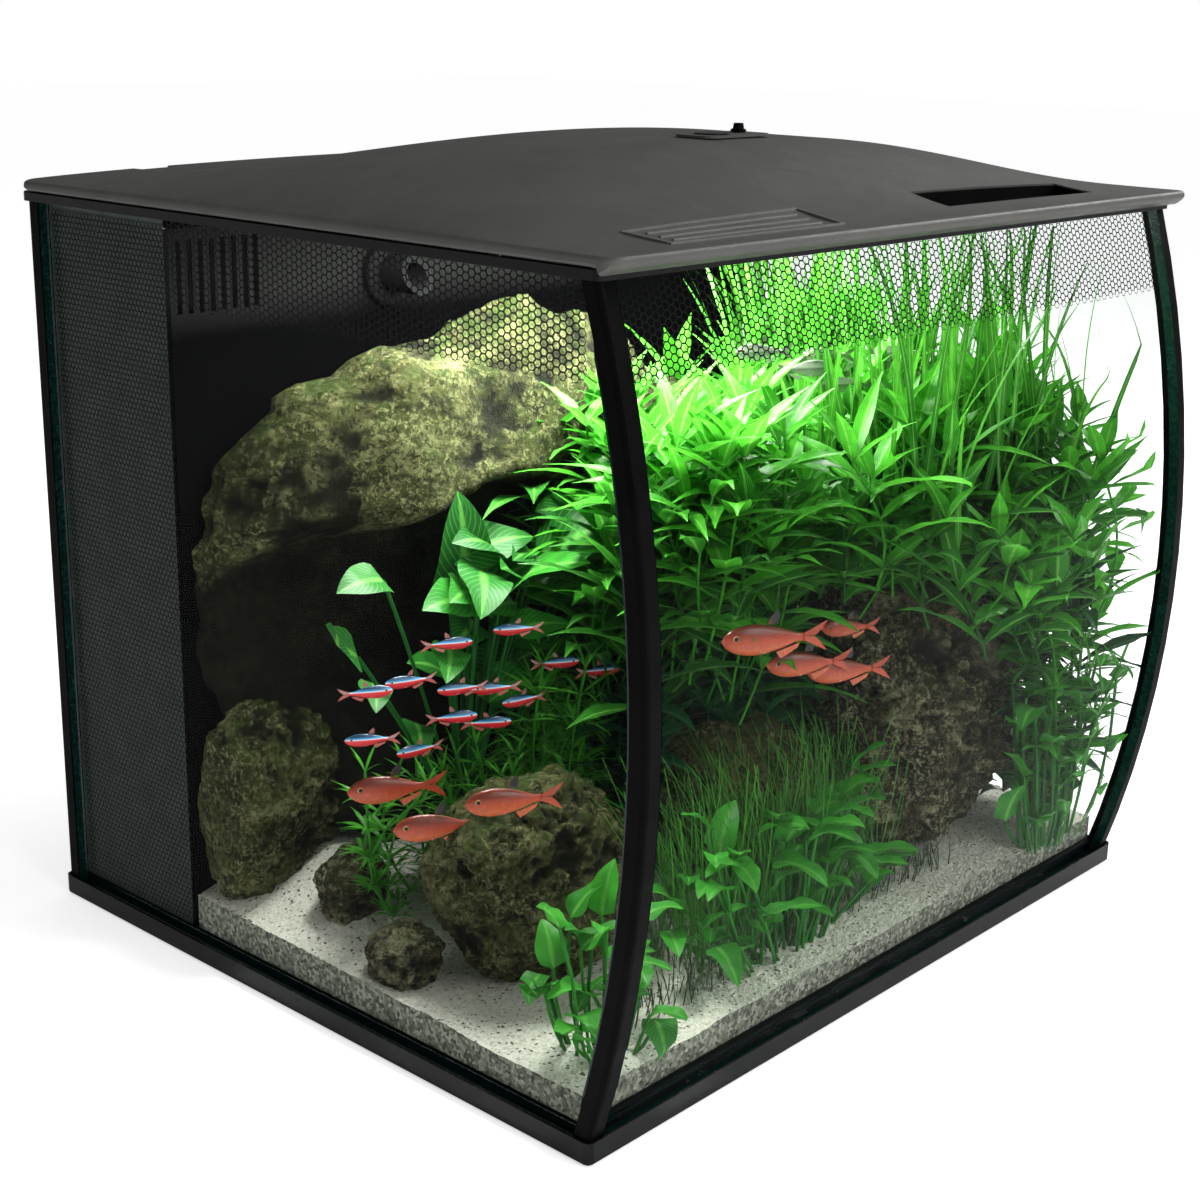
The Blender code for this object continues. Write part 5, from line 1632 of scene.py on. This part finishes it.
def lamp_parts():
    """White board, rows of lit chips under it, and the ribbed clear lens."""
    s = Shade("lamp_board")
    mask = s.noise(240.0, 4.0)
    s.link(s.ramp(mask, [(0.35, (0.55, 0.58, 0.55)), (0.65, (0.72, 0.74, 0.70))]),
           s.main.inputs["Base Color"])
    s.set(roughness=0.4)
    s.bump(mask, 0.2, 0.0002)
    paint(s.mat, "led_board")
    s = Shade("lamp_lens")
    ribs = s.node("TexWave", wave_type="BANDS", bands_direction="X")
    ribs.inputs["Scale"].default_value = 90.0
    s.link(s.place, ribs.inputs["Vector"])
    s.link(s.ramp(ribs.outputs["Fac"], [(0.2, 0.16), (0.8, 0.30)]), s.main.inputs["Alpha"])
    s.set(base_color=(0.50, 0.54, 0.55, 1.0), roughness=0.2)
    s.bump(ribs.outputs["Fac"], 0.5, 0.0005)
    paint(s.mat, "led_lens")
    s = Shade("lamp_chips")
    phosphor = s.noise(900.0, 3.0)
    s.link(s.ramp(phosphor, [(0.3, (0.90, 0.84, 0.50)), (0.7, (1.0, 0.96, 0.75))]),
           s.main.inputs["Base Color"])
    s.set(roughness=0.3, emission_color=(1.0, 1.0, 0.92, 1.0), emission_strength=0.6)
    builder = Builder()
    low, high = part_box("led_board")
    for i in range(24):
        x = mix(low.x + 0.010, high.x - 0.010, i / 23)
        for j in range(3):
            y = mix(low.y + 0.010, high.y - 0.010, j / 2)
            bar_block(builder, (x - 0.0018, y - 0.0014, low.z - 0.0008),
                      (x + 0.0018, y + 0.0014, low.z - 0.0001))
    place_piece(builder.make("lamp_chips", [s.mat], smooth=False), "hood", "circuit_board")


SCREEN_X, SCREEN_Z = (0.1195, 0.1985), (0.294, 0.339)


def intake_screens(mat):
    """Fine guards behind the partition's slots."""
    builder = Builder()
    for sign in (-1, 1):
        ends = sorted(sign * x for x in SCREEN_X)
        slotted_panel(builder, (ends[0], WALL_HIGH.y + 0.0003, SCREEN_Z[0]),
                      (ends[1], WALL_HIGH.y + 0.0018, SCREEN_Z[1]), 1, (27, 16))
    place_piece(builder.make("intake_screens", [mat], smooth=False), "tank", "filter_plastic")


def filter_works():
    """The intake screens, the foam, the media bags and the floor of the filter chamber."""
    intake_screens(plastic("screen_grey", (0.05, 0.05, 0.048), 0.6, 900.0, 0.2, 0.2, 0.1))
    foam_blocks()
    net = plastic("net_white", (0.60, 0.61, 0.60), 0.6, 1500.0, 0.2, 0.1, 0.2)
    ceramic = media_material("ceramic_media", (0.50, 0.44, 0.36), (0.74, 0.69, 0.60), 420.0)
    media_bag("ceramic_media_bag", ceramic, net, "ceramic_media", 0.0095, 0.0045, 0.0095, 0.0022,
              12, 41)
    carbon = media_material("carbon_media", (0.004, 0.004, 0.004), (0.030, 0.030, 0.031), 900.0)
    media_bag("carbon_media_bag", carbon, net, "carbon_media", 0.0068, 0.0024, 0.0075, 0.0, 8, 42)
    chamber_floor(plastic("foot_sealant", (0.002, 0.004, 0.004), 0.4, 300.0, 0.1, 0.2, 0.1))


# Camera, light and floor

CAMERA_PLACE = (-0.7107, -0.6255, 0.4367)
CAMERA_TURN = (73.2594, -1.0532, -47.5501)
CAMERA_LENS, CAMERA_SENSOR = 59.68, 36.0
GLOSS_WORLD = 0.14
LEFT_WORLD, RIGHT_WORLD = 0.22, 0.80
FLOOR_GLOW, FLOOR_GLOW_LOSS = 0.62, 0.55


def camera():
    data = bpy.data.cameras.new("camera")
    data.lens = CAMERA_LENS
    data.sensor_width = CAMERA_SENSOR
    data.clip_start = 0.01
    obj = bpy.data.objects.new("camera", data)
    obj.location = CAMERA_PLACE
    obj.rotation_euler = [math.radians(angle) for angle in CAMERA_TURN]
    bpy.context.scene.collection.objects.link(obj)
    bpy.context.scene.camera = obj


def area_light(name, where, target, size, power, color=(1, 1, 1), size_y=None):
    data = bpy.data.lights.new(name, "AREA")
    data.energy = power
    data.color = color
    data.size = size
    if size_y:
        data.shape = "RECTANGLE"
        data.size_y = size_y
    obj = bpy.data.objects.new(name, data)
    obj.location = where
    obj.rotation_euler = (Vector(target) - Vector(where)).to_track_quat("-Z", "Y").to_euler()
    bpy.context.scene.collection.objects.link(obj)
    return obj


def world_background(tree, strength=None):
    """A background of the world; without a strength it is the plain white one."""
    made = tree.nodes.new("ShaderNodeBackground")
    if strength is not None:
        made.inputs["Strength"].default_value = strength
    return made


def world_choice(tree, factor, first, second):
    made = tree.nodes.new("ShaderNodeMixShader")
    for source, socket in ((factor, made.inputs[0]), (first.outputs[0], made.inputs[1]),
                           (second.outputs[0], made.inputs[2])):
        tree.links.new(source, socket)
    return made


def surroundings():
    """White to the eye, much dimmer to the gloss, and brighter on the right for all else."""
    world = bpy.data.worlds.new("studio")
    world.use_nodes = True
    tree = world.node_tree
    sky = tree.nodes["Background"]
    sky.inputs["Color"].default_value = (1, 1, 1, 1)
    path = tree.nodes.new("ShaderNodeLightPath").outputs
    dim = world_background(tree, GLOSS_WORLD)
    plain = world_background(tree)
    direction = tree.nodes.new("ShaderNodeSeparateXYZ")
    tree.links.new(tree.nodes.new("ShaderNodeTexCoord").outputs["Generated"], direction.inputs[0])
    fall = tree.nodes.new("ShaderNodeMapRange")
    for name, value in (("From Min", -0.9), ("From Max", 0.9), ("To Min", LEFT_WORLD),
                        ("To Max", RIGHT_WORLD)):
        fall.inputs[name].default_value = value
    tree.links.new(direction.outputs[0], fall.inputs["Value"])
    tree.links.new(fall.outputs["Result"], plain.inputs["Strength"])
    glossy = world_choice(tree, path["Is Glossy Ray"], plain, dim)
    seen = world_choice(tree, path["Is Camera Ray"], glossy, sky)
    tree.links.new(seen.outputs[0], tree.nodes["World Output"].inputs["Surface"])
    bpy.context.scene.world = world


def studio():
    """The surroundings, a key, a front fill, and the lamp that rides under the hood."""
    surroundings()
    bpy.context.scene.view_settings.view_transform = "Standard"
    area_light("key", (1.4, -0.3, 1.1), (0, 0, 0.25), 0.8, 18)
    area_light("front_fill", (-0.1, -1.6, 0.9), (0, 0, 0.12), 1.0, 12)
    lamp_low, lamp_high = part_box("led_lens")
    lamp = area_light("tank_lamp", (0, (lamp_low.y + lamp_high.y) / 2, lamp_low.z - 0.001),
                      (0, -0.03, 0), 0.30, 3.6, (0.97, 1.0, 0.96), 0.07)
    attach(lamp, "hood")


def floor():
    """A large white floor; the gloss of the black plastic sees it dimmer than the eye does."""
    builder = Builder()
    size = 8.0
    rows = []
    for y in (-size, size):
        rows.append([builder.add((x, y, -0.0004)) for x in (-size, size)])
    builder.strip(rows)
    s = Shade("studio_floor")
    s.set(base_color=(0.9, 0.9, 0.9, 1.0), roughness=0.8, specular_ior_level=0.0,
          emission_color=(1.0, 1.0, 1.0, 1.0))
    glossy = s.node("LightPath").outputs["Is Glossy Ray"]
    s.link(s.math("SUBTRACT", FLOOR_GLOW, s.math("MULTIPLY", glossy, FLOOR_GLOW_LOSS)),
           s.main.inputs["Emission Strength"])
    obj = builder.make("floor", [s.mat], smooth=False)


# CAD nodes that keep their shape

def paint(mat, *nodes):
    for name in nodes:
        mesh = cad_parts[name].data
        mesh.materials.clear()
        mesh.materials.append(mat)


def paint_frame():
    rubber = plastic("silicone_black", (0.0015, 0.0015, 0.0015), 0.45, 120.0, 0.08, 0.15, 0.04)
    paint(rubber, "front_left_corner_seam", "front_right_corner_seam", "rear_left_corner_seam",
          "rear_right_corner_seam", "cable_gland")
    gloss = plastic("frame_gloss", (0.004, 0.004, 0.005), 0.24, 500.0, 0.06, 0.15, 0.22)
    paint(gloss, "base_frame", "top_frame", "left_hinge_block", "right_hinge_block",
          "touch_button")
    grain = plastic("hood_grain", (0.082, 0.081, 0.075), 0.46, 2600.0, 0.30, 0.12, 0.25)
    paint(grain, "left_hinge_arm", "right_hinge_arm", "led_bracket", "control_panel")
    hood_cover(grain)
    hood_details(rubber)
    badge(plastic("badge_satin", (0.13, 0.13, 0.12), 0.34, 1800.0, 0.15, 0.1, 0.3))
    matte = plastic("filter_black", (0.0012, 0.0012, 0.0013), 0.7, 800.0, 0.12, 0.15, 0.0)
    paint(wall_material(), "filter_partition")
    # The nozzles and their sockets are a paler black than the partition: painted light that matches
    # the paler top of the wall.
    outlet = plastic("outlet_black", (0.008, 0.008, 0.008), 0.7, 800.0, 0.12, 0.15, 0.0)
    paint(outlet, "left_nozzle_socket", "right_nozzle_socket", "left_nozzle", "right_nozzle")
    wall_trim(matte)
    works = plastic("filter_grey", (0.016, 0.0165, 0.018), 0.42, 1100.0, 0.2, 0.3, 0.2)
    paint(works, "left_baffle", "right_baffle", "pump_body", "pump_intake_cover", "outlet_tee")
    slotted_parts(works)
    hood_ribs(grain)
    paint(plastic("impeller_ivory", (0.42, 0.41, 0.36), 0.35, 900.0, 0.1, 0.1, 0.3), "impeller")
    paint(plastic("shaft_ceramic", (0.70, 0.69, 0.66), 0.25, 1500.0, 0.05, 0.05, 0.4),
          "impeller_shaft")
    hose = plastic("hose_dark", (0.028, 0.031, 0.034), 0.30, 260.0, 0.25, 0.4, 0.3)
    paint(hose, "riser_hose", "left_outlet_hose", "right_outlet_hose")
    steel = metal("steel_pin", (0.62, 0.61, 0.59), 0.24, (1.0, 30.0, 30.0))
    paint(steel, "left_hinge_pin", "right_hinge_pin")
    hose_clamps(steel)
    paint(metal("brushed_aluminium", (0.55, 0.56, 0.57), 0.34, (1.0, 60.0, 1.0)), "led_housing")
    lamp_parts()


LEAF_BRIGHT = leaf_material("leaf_bright", (0.008, 0.11, 0.012), (0.085, 0.50, 0.025),
                            (0.26, 0.66, 0.12))
LEAF_GRASS = leaf_material("leaf_grass", (0.010, 0.12, 0.010), (0.09, 0.42, 0.025),
                           (0.22, 0.55, 0.10), 0.4, 0.40)
LEAF_BROAD = leaf_material("leaf_broad", (0.006, 0.09, 0.012), (0.055, 0.38, 0.030),
                           (0.16, 0.50, 0.08), 0.42, 0.3)
# A darker copy of the leaf colours, for painted shade behind and under the thicket.
LEAF_SHADED = leaf_material("leaf_shaded", (0.002, 0.030, 0.010), (0.012, 0.14, 0.030),
                          (0.05, 0.24, 0.06), 0.4, 0.25)
# A very dark copy of the leaf colours, for the painted shadow line along the edge of the planting.
LEAF_SHADOW = leaf_material("leaf_shadow", (0.005, 0.02, 0.004), (0.02, 0.08, 0.015),
                          (0.05, 0.12, 0.03), 0.5, 0.2)

camera()
glass_panes()
paint_frame()
filter_works()
honeycombs()
sand()
stones()
plants()
fishes()
studio()
floor()
